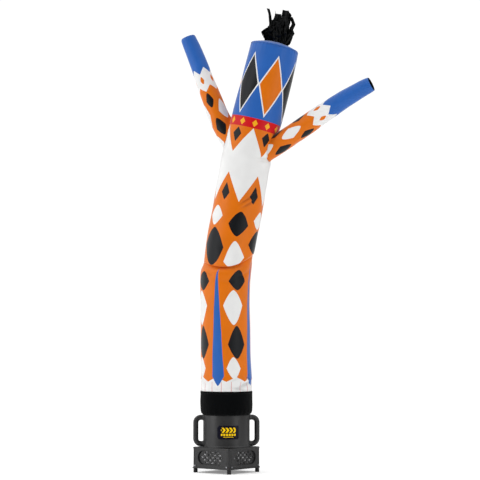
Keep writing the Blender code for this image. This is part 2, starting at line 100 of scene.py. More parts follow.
# Each arm's centreline from inside the tube: out from the shoulder's middle, height, radius.
ARM_COLUMNS = ("out", "height", "radius")
ARM_ROWS = {
    "arm_right": (
        (0.030, 1.840, 0.0600),
        (0.130, 1.901, 0.0600),
        (0.237, 1.966, 0.0600),
        (0.325, 2.021, 0.0600),
        (0.410, 2.076, 0.0592),
        (0.500, 2.132, 0.0565),
        (0.584, 2.183, 0.0530),
        (0.672, 2.231, 0.0490),
        (0.722, 2.256, 0.0470),
        (0.750, 2.269, 0.0425),
    ),
    "arm_left": (
        (0.010, 1.800, 0.0635),
        (0.060, 1.877, 0.0635),
        (0.112, 1.957, 0.0665),
        (0.160, 2.038, 0.0655),
        (0.203, 2.120, 0.0630),
        (0.232, 2.194, 0.0600),
        (0.262, 2.268, 0.0575),
        (0.292, 2.343, 0.0548),
        (0.321, 2.420, 0.0530),
        (0.369, 2.535, 0.0495),
        (0.387, 2.575, 0.0475),
        (0.394, 2.592, 0.0435),
    ),
}
ARM_ROOT_RADIUS = 0.060
ARM_SWING = 18.0
ARM_TURN = {"arm_right": -ARM_SWING, "arm_left": 180 - ARM_SWING}
SHOULDER_X = 0.140
# The shares of the tube's length between which the sleeves meet it.
SHOULDER_SHARES = (0.55, 0.92)
ARM_SIDES = 72
ARM_STEP = 0.008
AIR_HOLE_INSET = 0.010

# The cuff, from its hem down to where a cord draws it in over the drum.
CUFF_COLUMNS = ("height", "radius")
CUFF_ROWS = (
    (0.4590, 0.1538),
    (0.4480, 0.1545),
    (0.4250, 0.1552),
    (0.3850, 0.1558),
    (0.3500, 0.1548),
    (0.3320, 0.1510),
    (0.3230, 0.1450),
    (0.3183, 0.1362),
)
CUFF_THICKNESS = 0.0009
CUFF_STEP = 0.003
CUFF_SIDES = 288

# Puckers along a seam or a cord: how deep, how far they reach from it and how many go round.
HEM_PUCKERS = (0.0016, 0.030, 27)
RIM_PUCKERS = (0.0012, 0.028, 31)
SHOULDER_PUCKERS = (0.0016, 0.026, 11)
SLEEVE_ROOT_PUCKERS = (0.0014, 0.030, 9)
SLEEVE_END_PUCKERS = (0.0008, 0.012, 13)
CROWN_PUCKERS = (0.0016, 0.020, 31)
CUFF_GATHERS = (0.0030, 0.022, 30)

# The seam round an arm's root draws the tube's cloth in, most at the seam itself. Its puckers grow
# over the flat edge beside it. Cloth past the gap from the arm, or far from its root, is free.
SEAM_DRAW = 0.0035
SEAM_DRAW_REACH = 0.016
SEAM_FLAT_EDGE = 0.006
SEAM_GAP = 0.09
SEAM_FAR = 0.30

# Soft troughs in the tube's cloth: compass angle, height up the cloth, length, slant from level,
# depth and width. A trough at least as deep as the depth below is fully darkened by painted shade.
CREASE_COLUMNS = ("angle", "up", "length", "slant", "depth", "width")
CREASE_RADIUS = 0.15
SHADED_DEPTH = 0.008
CREASE_ROWS = (
    (50, 0.052, 0.19, 14, 0.0120, 0.011),
    (30, 0.026, 0.15, -10, 0.0085, 0.009),
    (62, 0.088, 0.13, -16, 0.0090, 0.010),
    (18, 0.080, 0.12, 22, 0.0050, 0.010),
    (-62, 0.048, 0.12, -10, 0.0026, 0.008),
    (-15, 0.024, 0.15, 4, 0.0020, 0.006),
    (140, 0.045, 0.16, 8, 0.0034, 0.008),
    (-140, 0.055, 0.15, -12, 0.0030, 0.008),
    (-42, 0.715, 0.15, -24, 0.0045, 0.012),
    (48, 0.705, 0.17, 22, 0.0050, 0.012),
    (4, 0.660, 0.14, -3, 0.0030, 0.014),
    (84, 0.770, 0.13, 34, 0.0050, 0.011),
    (112, 0.800, 0.14, 20, 0.0040, 0.012),
    (-84, 0.765, 0.12, -32, 0.0040, 0.011),
    (-116, 0.815, 0.12, -14, 0.0030, 0.012),
    (176, 0.860, 0.20, 3, 0.0030, 0.018),
    (30, 0.900, 0.13, 30, 0.0022, 0.015),
    (-28, 0.910, 0.11, -28, 0.0020, 0.014),
    (46, 1.430, 0.15, 8, 0.0070, 0.009),
    (40, 1.408, 0.12, 14, 0.0050, 0.008),
    (21, 1.166, 0.22, 40, 0.0110, 0.007),
    (26, 1.140, 0.19, 36, 0.0100, 0.007),
    (100, 1.330, 0.12, -30, 0.0020, 0.016),
    (-108, 1.335, 0.13, 24, 0.0035, 0.011),
    (-70, 1.420, 0.10, -20, 0.0025, 0.011),
    (20, 1.690, 0.15, 8, 0.0018, 0.016),
    (-40, 1.930, 0.14, -10, 0.0016, 0.016),
)
TUBE_CREASES = [dict(zip(CREASE_COLUMNS, row)) for row in CREASE_ROWS]


def linear(code):
    """An sRGB hex colour as linear red, green and blue."""
    channels = [int(code[i : i + 2], 16) / 255 for i in (1, 3, 5)]
    return tuple(c / 12.92 if c <= 0.04045 else ((c + 0.055) / 1.055) ** 2.4 for c in channels)


def colour_property(name, description, code):
    """A colour in the sidebar, with its default from a hex code."""
    return FloatVectorProperty(
        name=name, description=description, subtype="COLOR", min=0, max=1, default=linear(code)
    )


def length_property(name, description, default):
    """A length in the sidebar, in metres."""
    return FloatProperty(name=name, description=description, default=default, min=0, unit="LENGTH")


class DancerCloth(bpy.types.PropertyGroup):
    """The printed cloth, its colours and how uneven it hangs."""

    thickness: length_property("Thickness", "Thickness of the coated nylon", 0.0006)
    ripple: length_property("Ripple", "How far the air leaves the cloth uneven", 0.0014)
    orange: colour_property("Orange", "The print's ground", "#DD7000")
    blue: colour_property("Blue", "The print's crown, pennants and sleeve ends", "#2861B2")
    charcoal: colour_property("Charcoal", "The print's dark leaves", "#070A0F")
    white: colour_property("White", "The print's pale panels", "#EAEAE9")
    red: colour_property("Red", "The print's neck band and pinstripes", "#CB0C16")
    gold: colour_property("Gold", "The print's small lozenges", "#F2AC1C")
    black: colour_property("Black", "The cuff's and streamers' black", "#040506")


class DancerBlower(bpy.types.PropertyGroup):
    """The moulded blower under the tube."""

    grey: colour_property("Shell grey", "The moulded shell", "#1B1B1C")
    rubber: colour_property("Rubber", "The feet", "#161617")
    navy: colour_property("Label navy", "The label's ground", "#070718")
    amber: colour_property("Label amber", "The label's plain chevrons", "#FFD000")
    grain: length_property("Grain", "Pitch of the moulded grain", 0.0016)
    slot_length: length_property("Intake slot length", "Length of a slot in the intakes", 0.0240)
    slot_height: length_property("Intake slot height", "Height of a slot in the intakes", 0.0092)


class DancerStage(bpy.types.PropertyGroup):
    """The studio: floor, camera and lights."""

    camera_height: length_property("Camera height", "Height above the underside", 0.926)
    camera_distance: length_property("Camera distance", "From the camera to the tube", 11.6)
    aim_x: FloatProperty(
        name="Aim X", description="Where the camera looks", default=0.081, unit="LENGTH"
    )
    aim_height: length_property("Aim height", "Height of the point looked at", 1.359)
    lens: FloatProperty(name="Lens", description="Focal length in mm", default=145.5, min=1)
    side_watts: FloatProperty(
        name="Side boxes", description="Power of each side soft box", default=58, min=0, unit="POWER"
    )
    sky: FloatProperty(
        name="Sky", description="Strength of the studio walls' light", default=1.0, min=0
    )


# Materials

def add_node(tree, kind, inputs=None, **settings):
    """Adds a node with its settings; an input is a value, or a socket to link from."""
    node = tree.nodes.new(kind)
    for name, value in settings.items():
        setattr(node, name, value)
    for key, value in (inputs or {}).items():
        if isinstance(value, bpy.types.NodeSocket):
            tree.links.new(value, node.inputs[key])
        else:
            node.inputs[key].default_value = value
    return node


def new_material(name):
    """An empty node material and its Principled shader."""
    material = bpy.data.materials.new(name)
    material.use_nodes = True
    return material, material.node_tree, material.node_tree.nodes["Principled BSDF"]


def work_out(tree, known, steps):
    """Turns a formula into Math nodes, one a row: result, operation, then numbers or names."""
    values = dict(known)
    for result, operation, *terms in steps:
        inputs = {i: values.get(term, term) for i, term in enumerate(terms)}
        values[result] = add_node(tree, "ShaderNodeMath", inputs, operation=operation).outputs[0]
    return values


def figure_mask(tree, around, up, turn, row):
    """Where a row of equal figures lies round the cloth: kites, leaves, teeth or bars.

    Each runs from low to high with its full width at mid, and bulge bends its straight sides.
    """
    period = turn / row["count"]
    known = {"around": around, "up": up}
    rise = 1 / max(row["mid"] - row["low"], 0.0005)
    fall = 1 / max(row["high"] - row["mid"], 0.0005)
    steps = (
        ("moved", "SUBTRACT", "around", row["shift"] * period),
        ("cell", "WRAP", "moved", period / 2, -period / 2),
        ("away", "ABSOLUTE", "cell"),
        ("rising", "MULTIPLY_ADD", "up", rise, -row["low"] * rise),
        ("falling", "MULTIPLY_ADD", "up", -fall, row["high"] * fall),
        ("inward", "MINIMUM", "rising", "falling"),
        ("shaped", "POWER", "inward", row["bulge"]),
        ("reach", "MULTIPLY", "shaped", row["half"]),
        ("mask", "LESS_THAN", "away", "reach"),
    )
    return work_out(tree, known, steps)["mask"]


FIGURE_COLUMNS = ("colour", "count", "shift", "low", "mid", "high", "half", "bulge")
BAND_COLUMNS = ("colour", "low", "high")
TUBE_BANDS = (
    ("orange", 0.100, 1.140),
    ("red", 1.585, 1.645),
    ("blue", 1.645, 2.400),
)
TUBE_FIGURES = (
    ("orange", 8, 0.0, 0.070, 0.100, 0.101, 0.0600, 1.0),
    ("red", 16, 0.5, -0.01, 0.030, 0.070, 0.0011, 0.1),
    ("white", 4, 0.200, 0.085, 0.150, 0.215, 0.0440, 0.62),
    ("charcoal", 4, 0.300, 0.205, 0.290, 0.400, 0.0560, 0.62),
    ("white", 4, 0.220, 0.405, 0.520, 0.610, 0.0620, 0.62),
    ("charcoal", 4, 0.330, 0.610, 0.665, 0.740, 0.0560, 0.62),
    ("blue", 4, 0.785, 0.045, 0.105, 0.775, 0.0370, 0.80),
    ("white", 3, 0.060, 0.800, 0.850, 0.930, 0.0620, 0.62),
    ("charcoal", 3, 0.600, 0.820, 0.905, 0.985, 0.0780, 0.62),
    ("charcoal", 3, 0.080, 0.950, 1.010, 1.085, 0.0620, 0.62),
    ("white", 3, 0.560, 0.995, 1.045, 1.105, 0.0520, 0.62),
    ("orange", 5, 0.5, 1.130, 1.139, 1.310, 0.0940, 1.0),
    ("orange", 5, 0.5, 1.430, 1.5855, 1.586, 0.0945, 1.0),
    ("charcoal", 5, 0.5, 1.140, 1.185, 1.245, 0.0290, 0.9),
    ("charcoal", 5, 0.5, 1.490, 1.540, 1.578, 0.0290, 0.9),
    ("gold", 12, 0.0, 1.593, 1.615, 1.637, 0.0170, 1.0),
    ("white", 6, 0.25, 1.660, 1.850, 2.040, 0.0800, 1.0),
    ("orange", 3, 0.125, 1.678, 1.850, 2.022, 0.0710, 1.0),
    ("charcoal", 3, 0.625, 1.678, 1.850, 2.022, 0.0710, 1.0),
)
ARM_BANDS = (
    ("orange", -0.100, 0.350),
    ("blue", 0.500, 1.000),
)
ARM_FIGURES = (
    ("white", 3, 0.0, -0.030, 0.020, 0.085, 0.0330, 0.62),
    ("charcoal", 3, 0.5, 0.060, 0.115, 0.175, 0.0300, 0.62),
    ("white", 3, 0.0, 0.150, 0.210, 0.285, 0.0330, 0.62),
    ("charcoal", 3, 0.5, 0.245, 0.290, 0.340, 0.0240, 0.62),
    ("orange", 5, 0.0, 0.349, 0.350, 0.385, 0.0360, 1.0),
    ("blue", 5, 0.5, 0.462, 0.500, 0.501, 0.0360, 1.0),
    ("orange", 5, 0.5, 0.398, 0.422, 0.446, 0.0130, 0.62),
)


def print_colours(tree, around, up, turn, bands, figures):
    """The dyed print: bands of colour round the cloth, then rows of figures over them."""
    cloth = bpy.context.scene.dancer_cloth
    layers = []
    for values in bands:
        band = dict(zip(BAND_COLUMNS, values))
        middle, half = (band["low"] + band["high"]) / 2, (band["high"] - band["low"]) / 2
        steps = (("mask", "COMPARE", "up", middle, half),)
        layers.append((band["colour"], work_out(tree, {"up": up}, steps)["mask"]))
    for values in figures:
        figure = dict(zip(FIGURE_COLUMNS, values))
        layers.append((figure["colour"], figure_mask(tree, around, up, turn, figure)))
    paint = (*cloth.white, 1)
    for colour, mask in layers:
        inputs = {0: mask, 6: paint, 7: (*getattr(cloth, colour), 1)}
        paint = add_node(tree, "ShaderNodeMix", inputs, data_type="RGBA").outputs[2]
    return paint


def nylon(name, turn=1.0, bands=(), figures=(), ground=None):
    """Coated polyester-nylon: a close plain weave, dye-printed, that shines softly where it bends.

    The yarns are 0.2 mm apart, too fine to see, so the grid of rip-stop yarns is drawn 6 mm apart.
    The dye fades and deepens over 111 mm, and the deepest creases are darkened by painted shade.
    """
    material, tree, shader = new_material(name)
    shader.inputs["Roughness"].default_value = 0.45
    shader.inputs["Sheen Weight"].default_value = 0.45
    shader.inputs["Sheen Roughness"].default_value = 0.36
    shader.inputs["Specular IOR Level"].default_value = 0.20
    cloth_map = add_node(tree, "ShaderNodeUVMap", uv_map="cloth").outputs[0]
    split = add_node(tree, "ShaderNodeSeparateXYZ", {0: cloth_map})
    around, up = split.outputs[0], split.outputs[1]
    if ground is None:
        paint = print_colours(tree, around, up, turn, bands, figures)
    else:
        paint = (*ground, 1)
    place = add_node(tree, "ShaderNodeTexCoord").outputs["Object"]
    dye = add_node(tree, "ShaderNodeTexNoise", {"Vector": place, "Scale": 1 / (111 * MM), "Detail": 3.0})
    fade = add_node(
        tree, "ShaderNodeMapRange",
        {"Value": dye.outputs[0], "From Min": 0.3, "From Max": 0.7, "To Min": 0.95, "To Max": 1.03},
    )
    # Painted shade: the cloth's colour darkens by up to 22 % where the crease attribute marks deep
    # troughs, on top of the dye's random fading.
    crease = add_node(tree, "ShaderNodeAttribute", attribute_name="crease").outputs["Fac"]
    steps = (("unshaded", "MULTIPLY_ADD", "crease", -0.22, 1.0), ("tone", "MULTIPLY", "unshaded", "fade"))
    tone = work_out(tree, {"crease": crease, "fade": fade.outputs[0]}, steps)["tone"]
    faded_and_shaded = add_node(tree, "ShaderNodeHueSaturation", {"Value": tone, "Color": paint})
    tree.links.new(faded_and_shaded.outputs[0], shader.inputs["Base Color"])
    yarn = 6 * MM
    steps = (
        ("warp", "PINGPONG", "around", yarn / 2),
        ("weft", "PINGPONG", "up", yarn / 2),
        ("near", "MINIMUM", "warp", "weft"),
        ("ridge", "LESS_THAN", "near", yarn / 12),
    )
    ridge = work_out(tree, {"around": around, "up": up}, steps)["ridge"]
    crumple = add_node(
        tree, "ShaderNodeTexNoise",
        {"Vector": place, "Scale": 1 / (38.5 * MM), "Detail": 4.0, "Distortion": 0.6},
    )
    soft = add_node(
        tree, "ShaderNodeBump", {"Height": crumple.outputs[0], "Strength": 0.16, "Distance": 0.004}
    )
    weave = add_node(
        tree, "ShaderNodeBump",
        {"Height": ridge, "Normal": soft.outputs[0], "Strength": 0.12, "Distance": 0.0004},
    )
    tree.links.new(weave.outputs[0], shader.inputs["Normal"])
    return material


def streamer_film():
    """Black coated nylon taffeta, cut in streamers: thin, crumpled and glossy on its creases."""
    material, tree, shader = new_material("taffeta_film_black")
    cloth = bpy.context.scene.dancer_cloth
    shader.inputs["Base Color"].default_value = (*cloth.black, 1)
    place = add_node(tree, "ShaderNodeTexCoord").outputs["Object"]
    crumple = add_node(
        tree, "ShaderNodeTexNoise", {"Vector": place, "Scale": 1 / (16.7 * MM), "Detail": 3.0}
    )
    gloss = add_node(
        tree, "ShaderNodeMapRange",
        {
            "Value": crumple.outputs[0], "From Min": 0.3, "From Max": 0.7,
            "To Min": 0.30, "To Max": 0.48,
        },
    )
    tree.links.new(gloss.outputs[0], shader.inputs["Roughness"])
    shader.inputs["Specular IOR Level"].default_value = 0.12
    bump = add_node(
        tree, "ShaderNodeBump", {"Height": crumple.outputs[0], "Strength": 0.25, "Distance": 0.004}
    )
    tree.links.new(bump.outputs[0], shader.inputs["Normal"])
    return material


def cuff_cloth():
    """Heavy brushed polyester: a matt black that barely shines, with a ribbed weave.

    The ribs are 2 mm apart, too fine to see, so they are drawn 8 mm apart. A band of the wave
    texture is a tenth of pi wide at a scale of 1.
    """
    material, tree, shader = new_material("brushed_polyester_black")
    cloth = bpy.context.scene.dancer_cloth
    shader.inputs["Base Color"].default_value = (*cloth.black, 1)
    shader.inputs["Roughness"].default_value = 0.88
    shader.inputs["Sheen Weight"].default_value = 0.03
    shader.inputs["Specular IOR Level"].default_value = 0.05
    cloth_map = add_node(tree, "ShaderNodeUVMap", uv_map="cloth").outputs[0]
    rib = add_node(
        tree, "ShaderNodeTexWave",
        {
            "Vector": cloth_map, "Scale": math.pi / 10 / (8 * MM), "Distortion": 0.8,
            "Detail": 2.0,
        },
        bands_direction="X",
    )
    place = add_node(tree, "ShaderNodeTexCoord").outputs["Object"]
    fuzz = add_node(
        tree, "ShaderNodeTexNoise", {"Vector": place, "Scale": 1 / (2.4 * MM), "Detail": 2.0}
    )
    ribbed = add_node(
        tree, "ShaderNodeBump", {"Height": rib.outputs[1], "Strength": 0.15, "Distance": 0.0006}
    )
    brushed = add_node(
        tree, "ShaderNodeBump",
        {"Height": fuzz.outputs[0], "Normal": ribbed.outputs[0], "Strength": 0.3, "Distance": 0.0008},
    )
    tree.links.new(brushed.outputs[0], shader.inputs["Normal"])
    return material


# Cloth shapes

def slopes(places, values):
    """The tangents of a curve through the values that never overshoots them."""
    rates = [(b - a) / (q - p) for p, q, a, b in zip(places, places[1:], values, values[1:])]
    inner = [0 if m * n <= 0 else 2 * m * n / (m + n) for m, n in zip(rates, rates[1:])]
    return [rates[0], *inner, rates[-1]]


class Profile:
    """Sections between the rows of a table, smooth along the path through them."""

    def __init__(self, columns, rows, path_columns):
        self.columns = columns
        picked = [[row[columns.index(name)] for name in path_columns] for row in rows]
        self.places = [0.0]
        for here, there in zip(picked, picked[1:]):
            self.places.append(self.places[-1] + math.dist(here, there))
        self.length = self.places[-1]
        self.values = list(zip(*rows))
        self.tangents = [slopes(self.places, values) for values in self.values]

    def at(self, place):
        """The section at a distance along the path, by column name."""
        place = min(max(place, 0.0), self.length)
        i = 0
        while i < len(self.places) - 2 and self.places[i + 1] < place:
            i += 1
        span = self.places[i + 1] - self.places[i]
        t = (place - self.places[i]) / span
        weights = (
            2 * t**3 - 3 * t**2 + 1, t**3 - 2 * t**2 + t, 3 * t**2 - 2 * t**3, t**3 - t**2
        )
        section = {}
        for name, values, tangents in zip(self.columns, self.values, self.tangents):
            terms = (values[i], tangents[i] * span, values[i + 1], tangents[i + 1] * span)
            section[name] = sum(w * term for w, term in zip(weights, terms))
        return section


TUBE = Profile(TUBE_COLUMNS, TUBE_ROWS, ("x", "height"))
TURN = 2 * math.pi * TUBE_RADIUS


def compass(angle):
    """Degrees as -180 to 180."""
    return (angle + 180) % 360 - 180


def wobble(x, y, z=0.0):
    """Smooth noise from -1 to 1, the same in each run."""
    return noise.noise((x, y, z))


def gathers(count, turn, stray, *place):
    """A wave of puckers round a seam, from -1 to 1, whose beat strays by the noise at a place."""
    return math.cos(count * turn + stray * wobble(*place))


def crease_depth(angle, up, creases):
    """How far the cloth lies in its troughs at a place, in metres."""
    depth = 0.0
    for crease in creases:
        across = math.radians(compass(angle - crease["angle"])) * CREASE_RADIUS
        rise = up - crease["up"]
        if abs(across) > crease["length"] or abs(rise) > crease["length"]:
            continue
        slant = math.radians(crease["slant"])
        along = across * math.cos(slant) + rise * math.sin(slant)
        off = rise * math.cos(slant) - across * math.sin(slant)
        if abs(along) < crease["length"] / 2:
            fade = math.cos(math.pi * along / crease["length"]) ** 2
            depth += crease["depth"] * fade * math.exp(-((off / crease["width"]) ** 2))
    return depth


def arm_frame(name):
    """The arm's outward direction, its level side direction and the shoulder's middle."""
    turn = math.radians(ARM_TURN[name])
    out = Vector((math.cos(turn), math.sin(turn), 0))
    return out, Vector((-math.sin(turn), math.cos(turn), 0)), Vector((SHOULDER_X, 0, 0))


def arm_path(name):
    """The smooth curve down an arm's middle."""
    return Profile(ARM_COLUMNS, ARM_ROWS[name], ("out", "height"))


def arm_point(name, path, place):
    """The arm's middle at a distance along its path, and the section there."""
    out, _, shoulder = arm_frame(name)
    section = path.at(place)
    return shoulder + out * section["out"] + Vector((0, 0, section["height"])), section


def arm_axis(name):
    """Points down the middle of the arm's root, and its radius there."""
    path = arm_path(name)
    return [arm_point(name, path, 0.02 * i)[0] for i in range(16)], path.at(0.16)["radius"]


def seam_draw(point, axes):
    """How far the seam round each arm draws the tube's cloth in, with its puckers."""
    depth, reach, count = SHOULDER_PUCKERS
    drawn = 0.0
    for name, (axis, radius) in axes.items():
        if (point - axis[8]).length > SEAM_FAR:
            continue
        away, nearest = min(((point - spot).length, i) for i, spot in enumerate(axis))
        gap = away - radius
        if gap > SEAM_GAP:
            continue
        _, side, _ = arm_frame(name)
        spoke = point - axis[nearest]
        turn = math.atan2(spoke.dot(side), spoke.z)
        gap = max(gap, 0)
        drawn += SEAM_DRAW * math.exp(-gap / SEAM_DRAW_REACH)
        pucker = gathers(count, turn, 2.5, 2 * turn, 3.7)
        drawn += depth * pucker * math.exp(-gap / reach) * min(1, gap / SEAM_FLAT_EDGE)
    return drawn


def facing(angle, section):
    """The way out of the tube at a compass angle, in the plane of a section."""
    tilt, turn = math.radians(section["tilt"]), math.radians(angle)
    across = Vector((math.cos(tilt), 0, -math.sin(tilt)))
    return across * math.sin(turn) - Vector((0, math.cos(turn), 0))


def tube_point(angle, up, section, axes):
    """A point on the tube's cloth, at a compass angle and a distance up it."""
    cloth = bpy.context.scene.dancer_cloth
    tilt, turn = math.radians(section["tilt"]), math.radians(angle)
    along = Vector((math.sin(tilt), 0, math.cos(tilt)))
    weight = ((1 + math.cos(turn - math.radians(section["fold_at"]))) / 2) ** FOLD_SHARPNESS
    out = facing(angle, section)
    radius = section["radius"] - section["tuck"] * weight
    x, y = 1.5 * math.sin(turn), 1.5 * math.cos(turn)
    held = 1 - math.exp(-up / 0.04)
    uneven = wobble(x, y, 2.2 * up) + 0.5 * wobble(2.3 * x, 2.3 * y, 7 * up)
    radius += cloth.ripple * held * uneven
    depth, reach, count = HEM_PUCKERS
    radius -= depth * math.exp(-up / reach) * (0.6 + gathers(count, turn, 3, x, y, 5.0))
    depth, reach, count = RIM_PUCKERS
    below = TUBE.length - up
    radius -= depth * math.exp(-below / reach) * (0.8 + gathers(count, turn, 3, x, y, 9.0))
    radius -= crease_depth(angle, up, TUBE_CREASES)
    point = Vector((section["x"], 0, section["height"])) + out * radius
    point -= along * section["drop"] * weight
    return point - out * seam_draw(point, axes)


def add_object(name, data):
    """A new object in the scene, at the origin."""
    obj = bpy.data.objects.new(name, data)
    bpy.context.scene.collection.objects.link(obj)
    return obj


def mesh_object(name, bm):
    """A new object with the shape of a bmesh, which is used up."""
    mesh = bpy.data.meshes.new(name)
    bm.to_mesh(mesh)
    bm.free()
    return add_object(name, mesh)


def add_quads(bm, rings, flat, closed=True):
    """Joins rings of points into faces, with a map, named cloth, of where each point lies flat."""
    uv = bm.loops.layers.uv.verify()
    made = [[bm.verts.new(point) for point in ring] for ring in rings]
    count = len(rings[0])
    for row, (low, high) in enumerate(zip(made, made[1:])):
        for i in range(count if closed else count - 1):
            j = (i + 1) % count
            face = bm.faces.new((low[i], low[j], high[j], high[i]))
            face.smooth = True
            spots = ((i, row), (i + 1, row), (i + 1, row + 1), (i, row + 1))
            for loop, (a, b) in zip(face.loops, spots):
                loop[uv].uv = flat(a, b)


def sheet_mesh(name, rings, ups, turn, inward=False):
    """A closed sleeve of cloth over rings of points, with its faces outwards or turned inward.

    Its map holds how far each point lies round the flat cloth and up it, in metres.
    """
    bm = bmesh.new()
    bm.loops.layers.uv.new("cloth")
    count = len(rings[0])
    add_quads(bm, rings, lambda a, b: ((a / count - 0.5) * turn, ups[b][a % count]))
    if inward:
        bmesh.ops.reverse_faces(bm, faces=bm.faces)
    return mesh_object(name, bm)


def choose_piece(piece):
    """Selects one piece, alone, and makes it the active one."""
    bpy.ops.object.select_all(action="DESELECT")
    piece.select_set(True)
    bpy.context.view_layer.objects.active = piece


def apply_modifier(piece, name, kind, **settings):
    """Adds a modifier, applies it and leaves nothing live on the piece."""
    modifier = piece.modifiers.new(name, kind)
    for key, value in settings.items():
        setattr(modifier, key, value)
    choose_piece(piece)
    bpy.ops.object.modifier_apply(modifier=name)


def give_wall(piece, thickness, outer, inner):
    """Gives a sheet its thickness, with one material outside and another inside."""
    piece.data.materials.append(outer)
    piece.data.materials.append(inner)
    apply_modifier(
        piece, "wall", "SOLIDIFY", thickness=thickness, offset=-1, use_rim=True,
        material_offset=1, material_offset_rim=0,
    )


def dress(piece, slot, *nodes):
    """The piece rides on the part and stands for its nodes, which it hides; its slot is not used."""
    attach(piece, "root")
    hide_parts(*nodes)
    return piece


# Stitching

# Compass angles round a seam, half a degree apart.
ROUND = [i / 2 - 180 for i in range(721)]
STITCH = 0.0042
STITCH_GAP = 0.0022
THREAD = 0.0009
THREAD_SIDES = 5
# How far each row of stitches lies from the edge beside it. A row along the cloth has two lengths,
# by which it stops short of the cloth's two ends.
RIM_STITCHES = 0.007
BACK_STITCHES = (0.010, 0.012)
SLEEVE_ROOT_STITCHES = 0.006
SLEEVE_END_STITCHES = 0.013
SLEEVE_SEAM_STITCHES = (0.010, 0.014)
CROWN_STITCHES = 0.010
CUFF_STITCHES = 0.013
# A stitch's rings: their places along it, in its own length, and how fat the thread is there.
STITCH_RINGS = ((-0.5, 0.35), (-0.3, 0.9), (0.3, 0.9), (0.5, 0.35))


def add_stitch(bm, middle, along, lift):
    """One bar of thread, a little flattened, that dips into the cloth at both ends."""
    side = along.cross(lift)
    rings = []
    for reach, fat in STITCH_RINGS:
        ring = []
        for k in range(THREAD_SIDES):
            turn = 2 * math.pi * k / THREAD_SIDES
            spoke = side * math.cos(turn) + lift * math.sin(turn) * 0.8
            ring.append(bm.verts.new(middle + along * STITCH * reach + spoke * THREAD / 2 * fat))
        rings.append(ring)
    for low, high in zip(rings, rings[1:]):
        for k in range(THREAD_SIDES):
            j = (k + 1) % THREAD_SIDES
            bm.faces.new((low[k], high[k], high[j], low[j])).smooth = True
    bm.faces.new(rings[0])
    bm.faces.new(rings[-1][::-1])


def sew(name, colour, slot, *seams):
    """Bars of thread along seams, each a row of points with the way out of the cloth there.

    Bonded polyester thread, twisted and dyed to the cloth: each bar has a soft shine of its own.
    """
    bm = bmesh.new()
    for seam in seams:
        run = 0.0
        for (here, _), (there, out) in zip(seam, seam[1:]):
            run += (there - here).length
            if run >= STITCH + STITCH_GAP:
                run = 0.0
                along = (there - here).normalized()
                lift = (out - along * out.dot(along)).normalized()
                add_stitch(bm, there + lift * THREAD * 0.15, along, lift)
    bmesh.ops.recalc_face_normals(bm, faces=bm.faces)
    threads = mesh_object(name, bm)
    dyed = plain("polyester_thread_" + name, colour, 0.55, grain=1.1 * MM, bump=0.2)
    threads.data.materials.append(dyed)
    return dress(threads, slot)


def tube_seam(angles, ups, axes):
    """Places along the tube's cloth, with the way out at each."""
    seam = []
    for angle, up in zip(angles, ups):
        section = TUBE.at(up)
        seam.append((tube_point(angle, up, section, axes), facing(angle, section)))
    return seam


def tube_rings(low, high, axes):
    """Rings of points on the tube's whole cloth between two shares of its length, and their places."""
    rows = math.ceil(TUBE.length / TUBE_STEP)
    ups = [TUBE.length * i / rows for i in range(rows + 1) if low <= i / rows <= high]
    angles = [360 * i / TUBE_SIDES - 180 for i in range(TUBE_SIDES)]
    rings = []
    for up in ups:
        section = TUBE.at(up)
        rings.append([tube_point(angle, up, section, axes) for angle in angles])
    return rings, angles, ups


def build_tube():
    """The printed tube, open where the air passes into its sleeves, with its seams and painted shade in
    its creases.
    """
    cloth = bpy.context.scene.dancer_cloth
    axes = {name: arm_axis(name) for name in ARM_ROWS}
    rings, angles, ups = tube_rings(0, 1, axes)
    tube = sheet_mesh("tube_cloth", rings, [[up] * TUBE_SIDES for up in ups], TURN)
    depths = [crease_depth(angle, up, TUBE_CREASES) for up in ups for angle in angles]
    # Painted shade for the deepest troughs, stored on each point so the print darkens there.
    crease_shade = [min(1, depth / SHADED_DEPTH) ** 2 for depth in depths]
    tube.data.attributes.new("crease", "FLOAT", "POINT").data.foreach_set("value", crease_shade)
    open_air_holes(tube, axes)
    lining = nylon("nylon_back_black", ground=cloth.black)
    printed = nylon("nylon_print_tube", TURN, TUBE_BANDS, TUBE_FIGURES)
    give_wall(tube, cloth.thickness, printed, lining)
    dress(tube, "printed_cloth", "body_tube")
    rim = tube_seam(ROUND, [TUBE.length - RIM_STITCHES] * len(ROUND), axes)
    steps = math.ceil(TUBE.length / MM)
    span = TUBE.length - sum(BACK_STITCHES)
    back_ups = [BACK_STITCHES[0] + span * i / steps for i in range(steps + 1)]
    back = tube_seam([180] * len(back_ups), back_ups, axes)
    threads = [
        sew("rim_stitches", cloth.blue, "printed_cloth", rim),
        sew("back_stitches", cloth.white, "printed_cloth", back),
    ]


def open_air_holes(tube, axes):
    """Removes the cloth inside each arm's root, where the air passes."""
    bm = bmesh.new()
    bm.from_mesh(tube.data)
    inside = []
    for face in bm.faces:
        middle = face.calc_center_median()
        for name, (axis, radius) in axes.items():
            outwards = (middle - Vector((SHOULDER_X, 0, 0))).dot(arm_frame(name)[0])
            near = min((middle - spot).length for spot in axis)
            if outwards > 0 and near < radius - AIR_HOLE_INSET:
                inside.append(face)
                break
    bmesh.ops.delete(bm, geom=inside, context="FACES")
    bm.to_mesh(tube.data)
    bm.free()


def whole_shoulders():
    """The tube's upper cloth without its air holes, for a ray to find where a sleeve meets it."""
    rings, _, _ = tube_rings(*SHOULDER_SHARES, {name: arm_axis(name) for name in ARM_ROWS})
    points = [point for ring in rings for point in ring]
    quads = []
    for low in range(0, len(points) - TUBE_SIDES, TUBE_SIDES):
        for i in range(TUBE_SIDES):
            j = (i + 1) % TUBE_SIDES
            quads.append((low + i, low + j, low + j + TUBE_SIDES, low + i + TUBE_SIDES))
    return BVHTree.FromPolygons(points, quads)


